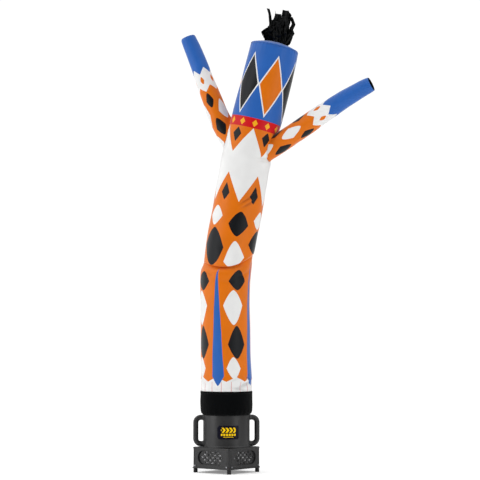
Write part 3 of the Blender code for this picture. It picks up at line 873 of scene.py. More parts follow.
class Sleeve:
    """One arm's cloth: points on it by their turn round it and their distance along it."""

    MIDDLES = 200
    SEAM_STEP = 0.005
    SEAM_STEPS = 80
    SEAM_CLEARANCE = 0.0006

    def __init__(self, name):
        self.name = name
        self.path = arm_path(name)
        self.side = arm_frame(name)[1]
        places = [self.path.length * i / self.MIDDLES for i in range(self.MIDDLES + 1)]
        self.middles = [arm_point(name, self.path, place)[0] for place in places]
        self.spokes = []
        for i in range(self.MIDDLES + 1):
            ahead = self.middles[min(i + 1, self.MIDDLES)] - self.middles[max(i - 1, 0)]
            self.spokes.append(self.side.cross(ahead.normalized()))

    def place_at(self, turn, place):
        """A point on the sleeve's middle line and the way out from it."""
        spot = min(max(place / self.path.length, 0), 1) * self.MIDDLES
        i = min(int(spot), self.MIDDLES - 1)
        point = self.middles[i].lerp(self.middles[i + 1], spot - i)
        spoke = self.spokes[i].lerp(self.spokes[i + 1], spot - i)
        return point, self.side * math.cos(turn) + spoke * math.sin(turn)

    def skin_point(self, turn, place, start):
        """A point on the cloth, uneven with the air, gathered at its seam and its open end."""
        point, spoke = self.place_at(turn, place)
        radius = self.path.at(place)["radius"]
        from_seam, to_hem = place - start, self.path.length - place
        x, y = math.cos(turn), math.sin(turn)
        loose = 1 - math.exp(-from_seam / 0.03)
        radius += 0.0011 * loose * wobble(1.6 * x, 1.6 * y, 9 * place + ARM_TURN[self.name])
        radius += 0.0006 * loose * wobble(3 * x, 3 * y, 30 * place)
        depth, reach, count = SLEEVE_ROOT_PUCKERS
        gather = gathers(count, turn, 2.5, 1.5 * x, 1.5 * y, 4.0)
        radius -= depth * gather * math.exp(-from_seam / reach) * loose
        radius += 0.0030 * math.exp(-from_seam / 0.004)
        depth, reach, count = SLEEVE_END_PUCKERS
        radius -= depth * math.exp(-to_hem / reach) * (1 + math.cos(count * turn))
        radius += 0.0008 * math.exp(-(((to_hem - 0.006) / 0.004) ** 2))
        return point + spoke * radius

    def start(self, turn, whole):
        """How far along the sleeve it meets the tube, looked for from outside inwards."""
        last = None
        for i in range(self.SEAM_STEPS, -1, -1):
            place = self.SEAM_STEP * i
            point, spoke = self.place_at(turn, place)
            here = point + spoke * self.path.at(place)["radius"]
            if last is not None:
                step = here - last
                hit, _, _, far = whole.ray_cast(last, step.normalized(), step.length)
                if hit is not None:
                    share = 1 - far / step.length
                    return place + self.SEAM_STEP * share + self.SEAM_CLEARANCE
            last = here
        return 0.0

    def seam(self, turns, places, starts):
        """Places along the sleeve's cloth, with the way out at each."""
        seam = []
        for turn, place, start in zip(turns, places, starts):
            seam.append((self.skin_point(turn, place, start), self.place_at(turn, place)[1]))
        return seam


def sleeve_threads(sleeve, starts):
    """Stitches round the sleeve's root and its open end, and along its underside."""
    cloth = bpy.context.scene.dancer_cloth
    name, length = sleeve.name, sleeve.path.length
    finer = 8
    count = finer * ARM_SIDES
    turns = [2 * math.pi * k / count for k in range(count + 1)]
    fine_starts = []
    for k in range(count + 1):
        low, high = starts[k // finer % ARM_SIDES], starts[(k // finer + 1) % ARM_SIDES]
        fine_starts.append(low + k % finer / finer * (high - low))
    root_places = [start + SLEEVE_ROOT_STITCHES for start in fine_starts]
    root = sleeve.seam(turns, root_places, fine_starts)
    end = sleeve.seam(turns, [length - SLEEVE_END_STITCHES] * len(turns), fine_starts)
    steps, low_start = 600, starts[ARM_SIDES // 4]
    first = low_start + SLEEVE_SEAM_STITCHES[0]
    span = length - low_start - sum(SLEEVE_SEAM_STITCHES)
    under = [first + span * i / steps for i in range(steps + 1)]
    below = sleeve.seam([math.pi / 2] * len(under), under, [low_start] * len(under))
    return [
        sew(name + "_root_stitches", cloth.orange, "printed_cloth", root),
        sew(name + "_end_stitches", cloth.blue, "printed_cloth", end),
        sew(name + "_seam_stitches", cloth.white, "printed_cloth", below),
    ]


def build_arm(name, whole):
    """A sleeve sewn on the tube round its air hole, with a hem at its open end."""
    cloth = bpy.context.scene.dancer_cloth
    sleeve = Sleeve(name)
    length = sleeve.path.length
    turns = [2 * math.pi * k / ARM_SIDES for k in range(ARM_SIDES)]
    starts = [sleeve.start(turn, whole) for turn in turns]
    rows = math.ceil((length - min(starts)) / ARM_STEP)
    rings, ups = [], []
    for j in range(rows + 1):
        share = j / rows
        share = share if share > 0.25 else share * (0.4 + 0.6 * share / 0.25)
        places = [start + (length - start) * share for start in starts]
        rings.append([sleeve.skin_point(t, p, s) for t, p, s in zip(turns, places, starts)])
        ups.append([place - min(starts) for place in places])
    turn_length = 2 * math.pi * ARM_ROOT_RADIUS
    piece = sheet_mesh(name + "_cloth", rings, ups, turn_length, inward=True)
    printed = nylon("nylon_print_" + name, turn_length, ARM_BANDS, ARM_FIGURES)
    lining = nylon("nylon_back_" + name, ground=cloth.black)
    give_wall(piece, cloth.thickness, printed, lining)
    dress(piece, "printed_cloth", name)
    threads = sleeve_threads(sleeve, starts)


# Crown, cuff and streamers

CROWN_RADIUS = TUBE_TOP["radius"]
CROWN_TILT = math.radians(TUBE_TOP["tilt"])
CROWN_MIDDLE = Matrix.Translation((TUBE_TOP["x"], 0, TUBE_TOP["height"]))
CROWN_PLACE = CROWN_MIDDLE @ Matrix.Rotation(CROWN_TILT, 4, "Y")
CROWN_BAND = 0.005
CROWN_RISE = 0.030


def dome(radius):
    """The crown's height over its rim at a distance from its middle."""
    sphere = (CROWN_RADIUS**2 + CROWN_RISE**2) / (2 * CROWN_RISE)
    return CROWN_BAND + CROWN_RISE - sphere + math.sqrt(sphere**2 - min(radius, CROWN_RADIUS) ** 2)


def crown_point(x, y, radius):
    """A point on the crown's cloth over its own base: a direction from its middle and how far."""
    edge = CROWN_RADIUS - radius
    depth, reach, count = CROWN_PUCKERS
    pucker = gathers(count, math.atan2(x, -y), 3, 1.5 * x, 1.5 * y, 9.0)
    height = dome(radius) + depth * math.exp(-edge / reach) * pucker * min(1, edge / 0.0095)
    height += 0.0014 * wobble(14 * x * radius, 14 * y * radius, 1.0) * min(1, edge / 0.019)
    return Vector((x * radius, y * radius, height if edge else 0.0003))


def build_crown():
    """The round panel that closes the tube, domed by the air and puckered along its seam."""
    cloth = bpy.context.scene.dancer_cloth
    rings, ups = [], []
    steps = 30
    for i in range(steps + 1):
        radius = CROWN_RADIUS * (1 - i / steps * 0.985)
        ring = []
        for k in range(TUBE_SIDES):
            turn = 2 * math.pi * k / TUBE_SIDES - math.pi
            ring.append(CROWN_PLACE @ crown_point(math.sin(turn), -math.cos(turn), radius))
        rings.append(ring)
        ups.append([CROWN_RADIUS - radius] * TUBE_SIDES)
    crown = sheet_mesh("crown_cloth", rings, ups, TURN)
    bm = bmesh.new()
    bm.from_mesh(crown.data)
    last = set(list(bm.verts)[-TUBE_SIDES:])
    middle = [edge for edge in bm.edges if edge.is_boundary and last.issuperset(edge.verts)]
    bmesh.ops.holes_fill(bm, edges=middle)
    for face in bm.faces:
        face.smooth = True
    bm.to_mesh(crown.data)
    bm.free()
    lining = nylon("nylon_back_crown", ground=cloth.black)
    give_wall(crown, cloth.thickness, nylon("nylon_crown_blue", ground=cloth.blue), lining)
    dress(crown, "crown_cloth", "crown")
    lift = CROWN_PLACE.to_3x3() @ Vector((0, 0, 1))
    ring = []
    for turn in map(math.radians, ROUND):
        spot = crown_point(math.sin(turn), -math.cos(turn), CROWN_RADIUS - CROWN_STITCHES)
        ring.append((CROWN_PLACE @ spot, lift))
    threads = sew("crown_stitches", cloth.blue, "crown_cloth", ring)


def cuff_point(turn, place, path):
    """A point on the cuff's cloth, at a turn about the axis and a distance down from its top."""
    section = path.at(place)
    height = section["height"]
    below = path.length - place
    x, y = math.sin(turn), -math.cos(turn)
    depth, reach, count = CUFF_GATHERS
    gather = gathers(count, turn, 4, 1.8 * x, 1.8 * y, 2.0)
    gather *= math.exp(-below / reach) * min(1, below / 0.004)
    radius = section["radius"] + depth * gather * (0.7 + 0.6 * wobble(4 * x, 4 * y, 1.0))
    loose = min(1, place / 0.02)
    radius += 0.0014 * loose * wobble(2 * x, 2 * y, 11 * height)
    radius += 0.0009 * loose * wobble(5 * x, 5 * y, 26 * height)
    radius += 0.0008 * math.exp(-(((place - 0.007) / 0.005) ** 2))
    return Vector((x * radius, y * radius, height + 0.0012 * gather))


def build_cuff():
    """The black cuff, hemmed where it meets the tube and drawn in by a cord over the drum."""
    cloth = bpy.context.scene.dancer_cloth
    path = Profile(CUFF_COLUMNS, CUFF_ROWS, ("height", "radius"))
    rows = math.ceil(path.length / CUFF_STEP)
    turns = [2 * math.pi * k / CUFF_SIDES - math.pi for k in range(CUFF_SIDES)]
    places = [path.length * i / rows for i in range(rows + 1)]
    rings = [[cuff_point(turn, place, path) for turn in turns] for place in places]
    ups = [[-place] * CUFF_SIDES for place in places]
    cuff = sheet_mesh("cuff_cloth", rings, ups, TURN, inward=True)
    brushed = cuff_cloth()
    give_wall(cuff, CUFF_THICKNESS, brushed, brushed)
    dress(cuff, "black_cloth", "cuff")
    hem = []
    for turn in map(math.radians, ROUND):
        out = Vector((math.sin(turn), -math.cos(turn), 0))
        hem.append((cuff_point(turn, CUFF_STITCHES, path), out))
    threads = sew("cuff_stitches", cloth.black, "black_cloth", hem)


# A strip runs from its root on the crown to its tip, both from the crown's middle. Its end is cut
# on a slant, and a kink pushes it sideways at a share of its length.
STREAMER_COLUMNS = (
    "root_x", "root_y", "tip_x", "tip_y", "tip_z", "width", "face", "zigzag", "taper", "rough",
    "slant", "kink_at", "kink",
)
STREAMER_ROWS = (
    (-0.010, -0.010, -0.037, -0.015, 0.236, 0.021, 10, 0.0015, 0.10, 0.4, 0.000, 0.50, 0.000),
    (-0.040, -0.022, -0.051, -0.024, 0.117, 0.056, 4, 0.000, 0.00, 0.1, 0.028, 0.50, 0.000),
    (-0.030, -0.026, -0.034, -0.030, 0.126, 0.048, 6, 0.000, 0.10, 0.2, 0.020, 0.50, 0.000),
    (-0.048, 0.020, -0.032, 0.030, 0.124, 0.036, -25, 0.002, 0.35, 0.5, 0.012, 0.50, 0.000),
    (-0.014, -0.018, -0.006, -0.024, 0.174, 0.034, 8, 0.001, 0.30, 0.4, 0.014, 0.50, 0.000),
    (-0.006, -0.026, 0.002, -0.032, 0.224, 0.016, 20, 0.002, 0.90, 0.3, 0.000, 0.50, 0.000),
    (-0.010, -0.022, 0.022, -0.030, 0.203, 0.044, 5, 0.001, 0.10, 0.3, 0.003, 0.50, 0.000),
    (0.020, -0.012, 0.070, -0.010, 0.227, 0.043, -6, 0.001, 0.06, 0.3, 0.000, 0.50, 0.000),
    (0.044, 0.000, 0.095, -0.006, 0.209, 0.032, 6, 0.001, 0.25, 0.3, -0.010, 0.50, 0.000),
    (0.050, -0.012, 0.099, -0.014, 0.186, 0.025, 6, 0.000, 0.10, 0.2, 0.000, 0.77, 0.027),
    (0.054, -0.022, 0.099, -0.020, 0.122, 0.022, 8, 0.000, 0.10, 0.2, 0.000, 0.72, 0.026),
    (0.052, -0.004, 0.083, -0.040, 0.170, 0.034, -12, 0.002, 0.35, 0.5, 0.000, 0.50, 0.000),
    (0.060, 0.006, 0.096, 0.010, 0.072, 0.044, 4, 0.000, 0.30, 0.2, 0.000, 0.50, 0.000),
    (0.010, -0.045, 0.020, -0.066, 0.150, 0.044, 10, 0.004, 0.30, 0.8, 0.000, 0.50, 0.000),
    (-0.030, -0.040, -0.026, -0.060, 0.120, 0.040, 25, 0.004, 0.30, 0.8, 0.000, 0.50, 0.000),
)
FILL_STREAMERS = 20
GOLDEN_ANGLE = 137.508
STREAMER_SIDES = 8
STREAMER_STEPS = 34
STREAMER_THICKNESS = 0.0003


def streamer_table():
    """The outer streamers, then those that fill the tuft, spread by the golden angle."""
    rows = list(STREAMER_ROWS)
    for i in range(FILL_STREAMERS):
        reach = 0.058 * math.sqrt((i + 0.5) / FILL_STREAMERS)
        turn = math.radians(GOLDEN_ANGLE * i)
        x, y = reach * math.cos(turn), reach * math.sin(turn)
        tip_z = 0.158 + 0.45 * x + 0.014 * math.cos(2 * turn + 0.6)
        face = 34 * math.sin(3 * turn)
        tip = (0.84 * x + 0.029, 1.2 * y, tip_z)
        rows.append((x, y, *tip, 0.048, face, 0.004, 0.35, 0.7, 0.0, 0.5, 0.0))
    return [dict(zip(STREAMER_COLUMNS, row)) for row in rows]


def streamer_rings(number, strip):
    """Rows of points across one crumpled strip, from its root to its tip, and its length."""
    up = Matrix.Rotation(-CROWN_TILT, 3, "Y")
    radius = math.hypot(strip["root_x"], strip["root_y"])
    root = Vector((strip["root_x"], strip["root_y"], dome(radius) + 0.0006))
    tip = up @ Vector((strip["tip_x"], strip["tip_y"], strip["tip_z"]))
    kink_at = strip["kink_at"]
    rings = []
    for j in range(STREAMER_STEPS + 1):
        t = j / STREAMER_STEPS
        face = math.radians(strip["face"] * (1 + t) + 35 * t * wobble(number, 3.1 * t, 0.5))
        across = Vector((math.cos(face), math.sin(face), 0))
        through = Vector((-math.sin(face), math.cos(face), 0))
        zig = 2 * abs((5 * t + 0.3 * number) % 2 - 1) - 1
        centre = root.lerp(tip, t) + (across - through) * strip["zigzag"] * zig * min(1, 3 * t)
        centre += through * 0.006 * wobble(5 * t, number, 7.0) * min(1, 4 * t)
        centre += across * strip["kink"] * min(t / kink_at, (1 - t) / (1 - kink_at))
        half = strip["width"] / 2 * (1 - strip["taper"] * t * t) * (0.62 + 0.38 * min(1, 5 * t))
        rough = half * strip["rough"]
        ring = []
        for i in range(STREAMER_SIDES + 1):
            a = 2 * i / STREAMER_SIDES - 1
            fold = 0.16 * half * math.cos(3.5 * a + number) * (1 + wobble(number, 6 * t, 3.0))
            crush = 0.17 * rough * wobble(number + 2.0 * a, 13 * t, 1.5)
            crush += 0.07 * rough * wobble(number + 5.0 * a, 30 * t, 2.5)
            edge = 0.08 * rough * wobble(number, 9 * t + 4 * a, 8.0)
            point = centre + across * (half * a + edge)
            point += through * (fold + crush) * min(1, 6 * t)
            point.z += 0.007 * strip["rough"] * wobble(number + a, 2.2, 4.4) * t * t
            point.z += strip["slant"] * a * t
            ring.append(CROWN_PLACE @ point)
        rings.append(ring)
    return rings, (tip - root).length


def build_streamers():
    """Strips slit in one sheet, which is gathered and sewn to the crown at its uncut edge."""
    bm = bmesh.new()
    bm.loops.layers.uv.new("cloth")
    shift = 0.0
    for number, strip in enumerate(streamer_table()):
        rings, span = streamer_rings(number, strip)
        wide, long = strip["width"] / STREAMER_SIDES, span / STREAMER_STEPS
        add_quads(bm, rings, lambda a, b: (shift + wide * a, long * b), closed=False)
        shift += strip["width"]
    hair = mesh_object("streamers", bm)
    hair.data.materials.append(streamer_film())
    apply_modifier(
        hair, "wall", "SOLIDIFY", thickness=STREAMER_THICKNESS, offset=0, use_rim=True
    )
    dress(hair, "streamer_film", "hair")


# Blower

SPINDLE = 128
BASE_TURN = 5.2
QUARTERS = (0, 90, 180, 270)
CORNER_TURNS = [BASE_TURN + quarter for quarter in QUARTERS]
FACE_TURNS = [BASE_TURN + 45 + quarter for quarter in QUARTERS]
BASE_SIDE = 0.285
# The height of the middle of an intake.
BASE_MIDDLE = 0.0675
FOOT_REACH = 0.184
SCREW_SIDE = 0.122
CRISP = math.radians(32)


def start_piece(name, primitive, **settings):
    """Adds a primitive at its size and place and opens it for editing, with all of it chosen."""
    bpy.ops.object.select_all(action="DESELECT")
    primitive(**settings)
    piece = bpy.context.object
    piece.name = name
    piece.data.name = name
    bpy.ops.object.transform_apply(location=True, rotation=True, scale=True)
    bpy.ops.object.mode_set(mode="EDIT")
    bpy.ops.mesh.select_mode(type="VERT")
    bpy.ops.mesh.select_all(action="SELECT")
    return piece


def push(x, y, z):
    """Extrudes what is chosen by a step."""
    bpy.ops.mesh.extrude_region_move(TRANSFORM_OT_translate={"value": (x, y, z)})


def raise_cap(size, steps):
    """Extrudes the chosen cap by rows of rise and new size, from its present size."""
    for rise, wider in steps:
        push(0, 0, rise)
        factor = wider / size
        bpy.ops.transform.resize(value=(factor, factor, 1), center_override=(0, 0, 0))
        size = wider


def choose(piece, kind, test):
    """Chooses the vertices, edges or faces that pass a test, and nothing else."""
    bpy.ops.mesh.select_all(action="DESELECT")
    bpy.ops.mesh.select_mode(type={"verts": "VERT", "edges": "EDGE", "faces": "FACE"}[kind])
    bm = bmesh.from_edit_mesh(piece.data)
    for element in getattr(bm, kind):
        if test(element):
            element.select = True
    bm.select_flush_mode()
    bmesh.update_edit_mesh(piece.data)


def open_through(piece):
    """Takes the caps off both ends of a stack and joins their rims, so that air passes."""
    choose(piece, "faces", lambda face: len(face.verts) > 4)
    bpy.ops.mesh.delete(type="FACE")
    choose(piece, "edges", lambda edge: edge.is_boundary)
    bpy.ops.mesh.bridge_edge_loops()


def end_piece(crisp=CRISP):
    """Turns the piece's faces outwards and leaves edit mode, smooth but for crisp corners."""
    bpy.ops.mesh.select_all(action="SELECT")
    bpy.ops.mesh.normals_make_consistent(inside=False)
    bpy.ops.object.mode_set(mode="OBJECT")
    bpy.ops.object.shade_smooth_by_angle(angle=crisp)


def turn_piece(piece, degrees):
    """Turns a piece about the tube's axis, with its object left at the origin."""
    piece.data.transform(Matrix.Rotation(math.radians(degrees), 4, "Z"))
    return piece


def finish_piece(piece, slot, material, *nodes):
    """Gives a piece its material alone, and dresses its nodes with it."""
    piece.data.materials.clear()
    piece.data.materials.append(material)
    dress(piece, slot, *nodes)


def copies(piece, turns, names):
    """The piece at each turn about the axis, each copy with its own mesh."""
    made = []
    for name, degrees in zip(names, turns):
        made.append(turn_piece(add_object(name, piece.data.copy()), degrees))
    bpy.data.objects.remove(piece)
    return made


def repeat(shape, places):
    """Fills a mesh with a copy of itself at each place, given as a matrix."""
    bm = bmesh.new()
    for place in places:
        one = shape.copy()
        one.transform(place)
        bm.from_mesh(one)
        bpy.data.meshes.remove(one)
    bm.to_mesh(shape)
    bm.free()


def round_faces(sides, turns):
    """Places beside the middle of each face of the box, at each turn, for repeat."""
    places = []
    for degrees in turns:
        for side in sides:
            turn = Matrix.Rotation(math.radians(degrees), 4, "Z")
            places.append(turn @ Matrix.Translation((side, 0, 0)))
    return places


def cut_away(piece, *cutters):
    """Cuts shapes out of a piece, removes the cutters and keeps its corners crisp."""
    for cutter in cutters:
        apply_modifier(
            piece, "cut", "BOOLEAN", operation="DIFFERENCE", solver="EXACT", object=cutter
        )
        bpy.data.objects.remove(cutter)
    choose_piece(piece)
    bpy.ops.object.shade_smooth_by_angle(angle=CRISP)


def moulded(name):
    """Injection-moulded polyethylene: dark grey, with a fine spark grain and a dull, waxy shine.

    Its grain is 0.3 mm apart, too fine to see, so it is drawn 1.6 mm apart.
    """
    material, tree, shader = new_material(name)
    blower = bpy.context.scene.dancer_blower
    place = add_node(tree, "ShaderNodeTexCoord").outputs["Object"]
    uneven = add_node(
        tree, "ShaderNodeTexNoise", {"Vector": place, "Scale": 1 / (71.4 * MM), "Detail": 4.0}
    )
    shade = add_node(
        tree, "ShaderNodeMapRange",
        {
            "Value": uneven.outputs[0], "From Min": 0.3, "From Max": 0.7,
            "To Min": 0.86, "To Max": 1.12,
        },
    )
    colour = add_node(
        tree, "ShaderNodeHueSaturation", {"Value": shade.outputs[0], "Color": (*blower.grey, 1)}
    )
    tree.links.new(colour.outputs[0], shader.inputs["Base Color"])
    gloss = add_node(
        tree, "ShaderNodeMapRange",
        {
            "Value": uneven.outputs[0], "From Min": 0.3, "From Max": 0.7,
            "To Min": 0.40, "To Max": 0.52,
        },
    )
    tree.links.new(gloss.outputs[0], shader.inputs["Roughness"])
    shader.inputs["Specular IOR Level"].default_value = 0.50
    grain = add_node(
        tree, "ShaderNodeTexVoronoi", {"Vector": place, "Scale": 1 / blower.grain},
        feature="SMOOTH_F1",
    )
    bump = add_node(
        tree, "ShaderNodeBump", {"Height": grain.outputs[0], "Strength": 0.30, "Distance": 0.0004}
    )
    tree.links.new(bump.outputs[0], shader.inputs["Normal"])
    return material


def plain(name, colour, roughness, metallic=0.0, grain=1.0, bump=0.0):
    """A material of one colour, with an optional fine grain of its surface, in metres."""
    material, tree, shader = new_material(name)
    shader.inputs["Base Color"].default_value = (*colour, 1)
    shader.inputs["Roughness"].default_value = roughness
    shader.inputs["Metallic"].default_value = metallic
    if bump:
        place = add_node(tree, "ShaderNodeTexCoord").outputs["Object"]
        speck = add_node(
            tree, "ShaderNodeTexNoise", {"Vector": place, "Scale": 1 / grain, "Detail": 3.0}
        )
        lift = add_node(
            tree, "ShaderNodeBump", {"Height": speck.outputs[0], "Strength": bump, "Distance": 0.0005}
        )
        tree.links.new(lift.outputs[0], shader.inputs["Normal"])
    return material


def build_drum():
    """The drum: a flared foot, an upright wall, a shoulder and the neck that the cuff goes over.

    Its outside runs up from the foot and its inside comes back down, as rise and radius.
    """
    foot, foot_radius = 0.1273, 0.1425
    drum = start_piece(
        "drum_shell", bpy.ops.mesh.primitive_circle_add,
        vertices=SPINDLE, radius=foot_radius, fill_type="NGON", location=(0, 0, foot),
    )
    steps = (
        (0.001, 0.1435), (0.0035, 0.1435), (0.001, 0.1430), (0.003, 0.1400), (0.0015, 0.1388),
        (0.176, 0.1385), (0.0025, 0.1380), (0.0012, 0.1365), (0.0, 0.1300), (0.002, 0.1290),
        (0.038, 0.1290), (0.002, 0.1308), (0.003, 0.1314), (0.003, 0.1308), (0.001, 0.1290),
        (0.0, 0.1255), (-0.045, 0.1250), (-0.004, 0.1342), (-0.184, 0.1345),
    )
    raise_cap(foot_radius, steps)
    open_through(drum)
    end_piece()
    finish_piece(drum, "shell", moulded("polyethylene_drum"), "drum")


def build_handles():
    """A D-shaped grip on each side: a tube led out of the drum, down and back, flared at its roots."""
    reach, bend, tube, flare = 0.183, 0.030, 0.0155, 0.0045
    high, low, wall = 0.3015, 0.1455, 0.1375
    grip = start_piece(
        "grip", bpy.ops.mesh.primitive_circle_add,
        vertices=28, radius=tube + flare, fill_type="NOTHING", rotation=(0, math.pi / 2, 0),
        location=(wall, 0, high),
    )
    root = 0.004
    straight = reach - bend - wall - 2 * root
    for out, size in ((root, 0.86), (root, 0.90), (straight, 1.0)):
        push(out, 0, 0)
        bpy.ops.transform.resize(value=(1, size, size), center_override=(wall, 0, high))
    bpy.ops.mesh.spin(
        steps=10, angle=-math.pi / 2, center=(reach - bend, 0, high - bend), axis=(0, 1, 0)
    )
    push(0, 0, low - high + 2 * bend)
    bpy.ops.mesh.spin(
        steps=10, angle=-math.pi / 2, center=(reach - bend, 0, low + bend), axis=(0, 1, 0)
    )
    for out, size in ((straight, 1.0), (root, 1 / 0.90), (root, 1 / 0.86)):
        push(-out, 0, 0)
        bpy.ops.transform.resize(value=(1, size, size), center_override=(wall, 0, low))
    bpy.ops.mesh.select_all(action="SELECT")
    bpy.ops.mesh.remove_doubles(threshold=0.00002)
    choose(grip, "edges", lambda edge: edge.is_boundary)
    bpy.ops.mesh.edge_face_add()
    end_piece()
    pair = copies(grip, (BASE_TURN, BASE_TURN + 180), ("grip_right", "grip_left"))
    for piece, node in zip(pair, ("handle_right", "handle_left")):
        finish_piece(piece, "shell", moulded("polyethylene_" + piece.name), node)


def square_start(name, side, corner, height):
    """A square plate outline with round corners, opened for editing."""
    piece = start_piece(name, bpy.ops.mesh.primitive_plane_add, size=side, location=(0, 0, height))
    bpy.ops.mesh.bevel(offset=corner, segments=8, affect="VERTICES")
    bpy.ops.mesh.select_all(action="SELECT")
    return piece


def slot_start(name, length, height, depth):
    """A round-ended slot's outline that faces -Y at a depth, opened for editing."""
    piece = start_piece(
        name, bpy.ops.mesh.primitive_plane_add, size=1, rotation=(math.pi / 2, 0, 0),
        location=(0, depth, BASE_MIDDLE),
    )
    middle = (0, depth, BASE_MIDDLE)
    bpy.ops.transform.resize(value=(length, 1, height), center_override=middle)
    bpy.ops.mesh.bevel(offset=height / 2 - 0.0002, segments=16, affect="VERTICES")
    bpy.ops.mesh.select_all(action="SELECT")
    return piece


def build_housing():
    """The square fan housing: a thin shell with a rim, open at its throat and its four sides."""
    side = BASE_SIDE
    housing = square_start("fan_housing", side, 0.011, 0.0083)
    steps = (
        (0.1090, side - 0.001), (0.0008, side + 0.002), (0.0072, side + 0.002), (0.0012, side),
        (0.0005, side - 0.002),
    )
    raise_cap(side, steps)
    bpy.ops.mesh.inset(thickness=0.006)
    bpy.ops.mesh.inset(thickness=0.001, depth=-0.0012)
    end_piece()
    inside = square_start("inside", side - 0.008, 0.007, 0.002)
    push(0, 0, 0.121)
    end_piece()
    throat = start_piece(
        "throat", bpy.ops.mesh.primitive_circle_add,
        vertices=SPINDLE, radius=0.123, fill_type="NGON", location=(0, 0, 0.12),
    )
    push(0, 0, 0.02)
    end_piece()
    slots = []
    for degrees in QUARTERS:
        slot = slot_start("slot", 0.2106, 0.0886, -side / 2 - 0.02)
        push(0, 0.034, 0)
        end_piece()
        slots.append(turn_piece(slot, degrees))
    cut_away(housing, inside, throat, *slots, corner_grooves())
    turn_piece(housing, FACE_TURNS[0])
    finish_piece(housing, "shell", moulded("polyethylene_housing"), "housing")


def corner_grooves():
    """Cutters for the upright groove beside each of the housing's corners."""
    groove = start_piece(
        "groove", bpy.ops.mesh.primitive_cube_add,
        size=1, scale=(0.0034, 0.0030, 0.084), location=(0, -BASE_SIDE / 2, 0.070),
    )
    bpy.ops.mesh.bevel(offset=0.0008, segments=2, affect="EDGES")
    end_piece()
    repeat(groove.data, round_faces((-0.1260, 0.1260), QUARTERS))
    return groove


# The grille's slots: their pitch along a row and from row to row, and the round-ended field.
SLOT_PITCH = (0.0380, 0.0155)
FIELD_STRAIGHT = 0.061
FIELD_RADIUS = 0.0400


def slot_places():
    """Where the slots of a grille lie: five rows, every other one staggered, in a round-ended field."""
    blower = bpy.context.scene.dancer_blower
    half_length, half_height = blower.slot_length / 2, blower.slot_height / 2
    places = []
    for row in range(-2, 3):
        for column in range(-2, 3):
            x = (column + (0.5 if row % 2 else 0)) * SLOT_PITCH[0]
            z = row * SLOT_PITCH[1]
            past = max(abs(x) + half_length - FIELD_STRAIGHT, 0)
            if math.hypot(past, abs(z) + half_height) <= FIELD_RADIUS:
                places.append(Matrix.Translation((x, 0, z)))
    return places


def build_intakes():
    """A recessed grille in each side, with slots in staggered rows and a screen behind."""
    blower = bpy.context.scene.dancer_blower
    front = -BASE_SIDE / 2 + 0.0005
    tray = slot_start("intake_grille", 0.210, 0.088, front)
    push(0, 0.0135, 0)
    bpy.ops.mesh.select_all(action="SELECT")
    bpy.ops.mesh.normals_make_consistent(inside=False)

    def is_front(face):
        return len(face.verts) > 4 and face.calc_center_median().y < front + 0.001

    choose(tray, "faces", is_front)
    bpy.ops.mesh.inset(thickness=0.003)
    bpy.ops.mesh.inset(thickness=0.0012, depth=-0.0095)
    end_piece()
    holes = slot_start("holes", blower.slot_length, blower.slot_height, front + 0.005)
    push(0, 0.012, 0)
    end_piece()
    repeat(holes.data, slot_places())
    cut_away(tray, holes)
    names = [f"intake_grille_{index + 1}" for index in range(4)]
    for index, piece in enumerate(copies(tray, FACE_TURNS, names)):
        finish_piece(piece, "shell", moulded("polyethylene_" + piece.name), f"intake_{index + 1}")
    screen = slot_start("intake_screen", 0.196, 0.074, front + 0.0150)
    push(0, 0.0008, 0)
    end_piece()
    wire = screen_wire()
    names = [f"intake_screen_{index + 1}" for index in range(4)]
    for piece in copies(screen, FACE_TURNS, names):
        finish_piece(piece, "shell", wire)


def screen_wire():
    """Galvanised wire cloth: pale zinc with a 2.4 mm mesh, dark in patches where dust clogs it."""
    material, tree, shader = new_material("galvanised_wire_screen")
    shader.inputs["Roughness"].default_value = 0.5
    shader.inputs["Metallic"].default_value = 0.3
    place = add_node(tree, "ShaderNodeTexCoord").outputs["Object"]
    split = add_node(tree, "ShaderNodeSeparateXYZ", {0: place})
    pitch = 2.4 * MM
    steps = (
        ("side", "ADD", "x", "y"),
        ("warp", "PINGPONG", "side", pitch / 2),
        ("weft", "PINGPONG", "z", pitch / 2),
        ("near", "MINIMUM", "warp", "weft"),
        ("wire", "LESS_THAN", "near", pitch / 5),
    )
    known = {"x": split.outputs[0], "y": split.outputs[1], "z": split.outputs[2]}
    wire = work_out(tree, known, steps)["wire"]
    inputs = {0: wire, 6: (*linear("#59595D"), 1), 7: (*linear("#BCBCBD"), 1)}
    colour = add_node(tree, "ShaderNodeMix", inputs, data_type="RGBA").outputs[2]
    dust = add_node(
        tree, "ShaderNodeTexNoise", {"Vector": place, "Scale": 1 / (29.4 * MM), "Detail": 1.0}
    )
    dull = add_node(
        tree, "ShaderNodeMapRange",
        {
            "Value": dust.outputs[0], "From Min": 0.42, "From Max": 0.60,
            "To Min": 0.12, "To Max": 1.25,
        },
    )
    dulled = add_node(tree, "ShaderNodeHueSaturation", {"Value": dull.outputs[0], "Color": colour})
    tree.links.new(dulled.outputs[0], shader.inputs["Base Color"])
    return material


def build_plate():
    """The bottom plate, wider than the housing, with a raised panel under it."""
    side = 0.290
    plate = square_start("bottom_plate", side, 0.013, 0.0015)
    raise_cap(side, ((0.0012, 0.294), (0.0038, 0.294), (0.0013, 0.2925)))
    end_piece()
    panel = square_start("panel", 0.230, 0.014, 0.0)
    push(0, 0, 0.003)
    end_piece()
    bm = bmesh.new()
    for piece in (plate, panel):
        bm.from_mesh(piece.data)
    bm.to_mesh(plate.data)
    bm.free()
    bpy.data.objects.remove(panel)
    turn_piece(plate, FACE_TURNS[0])
    finish_piece(plate, "shell", moulded("polyethylene_plate"), "base_plate")


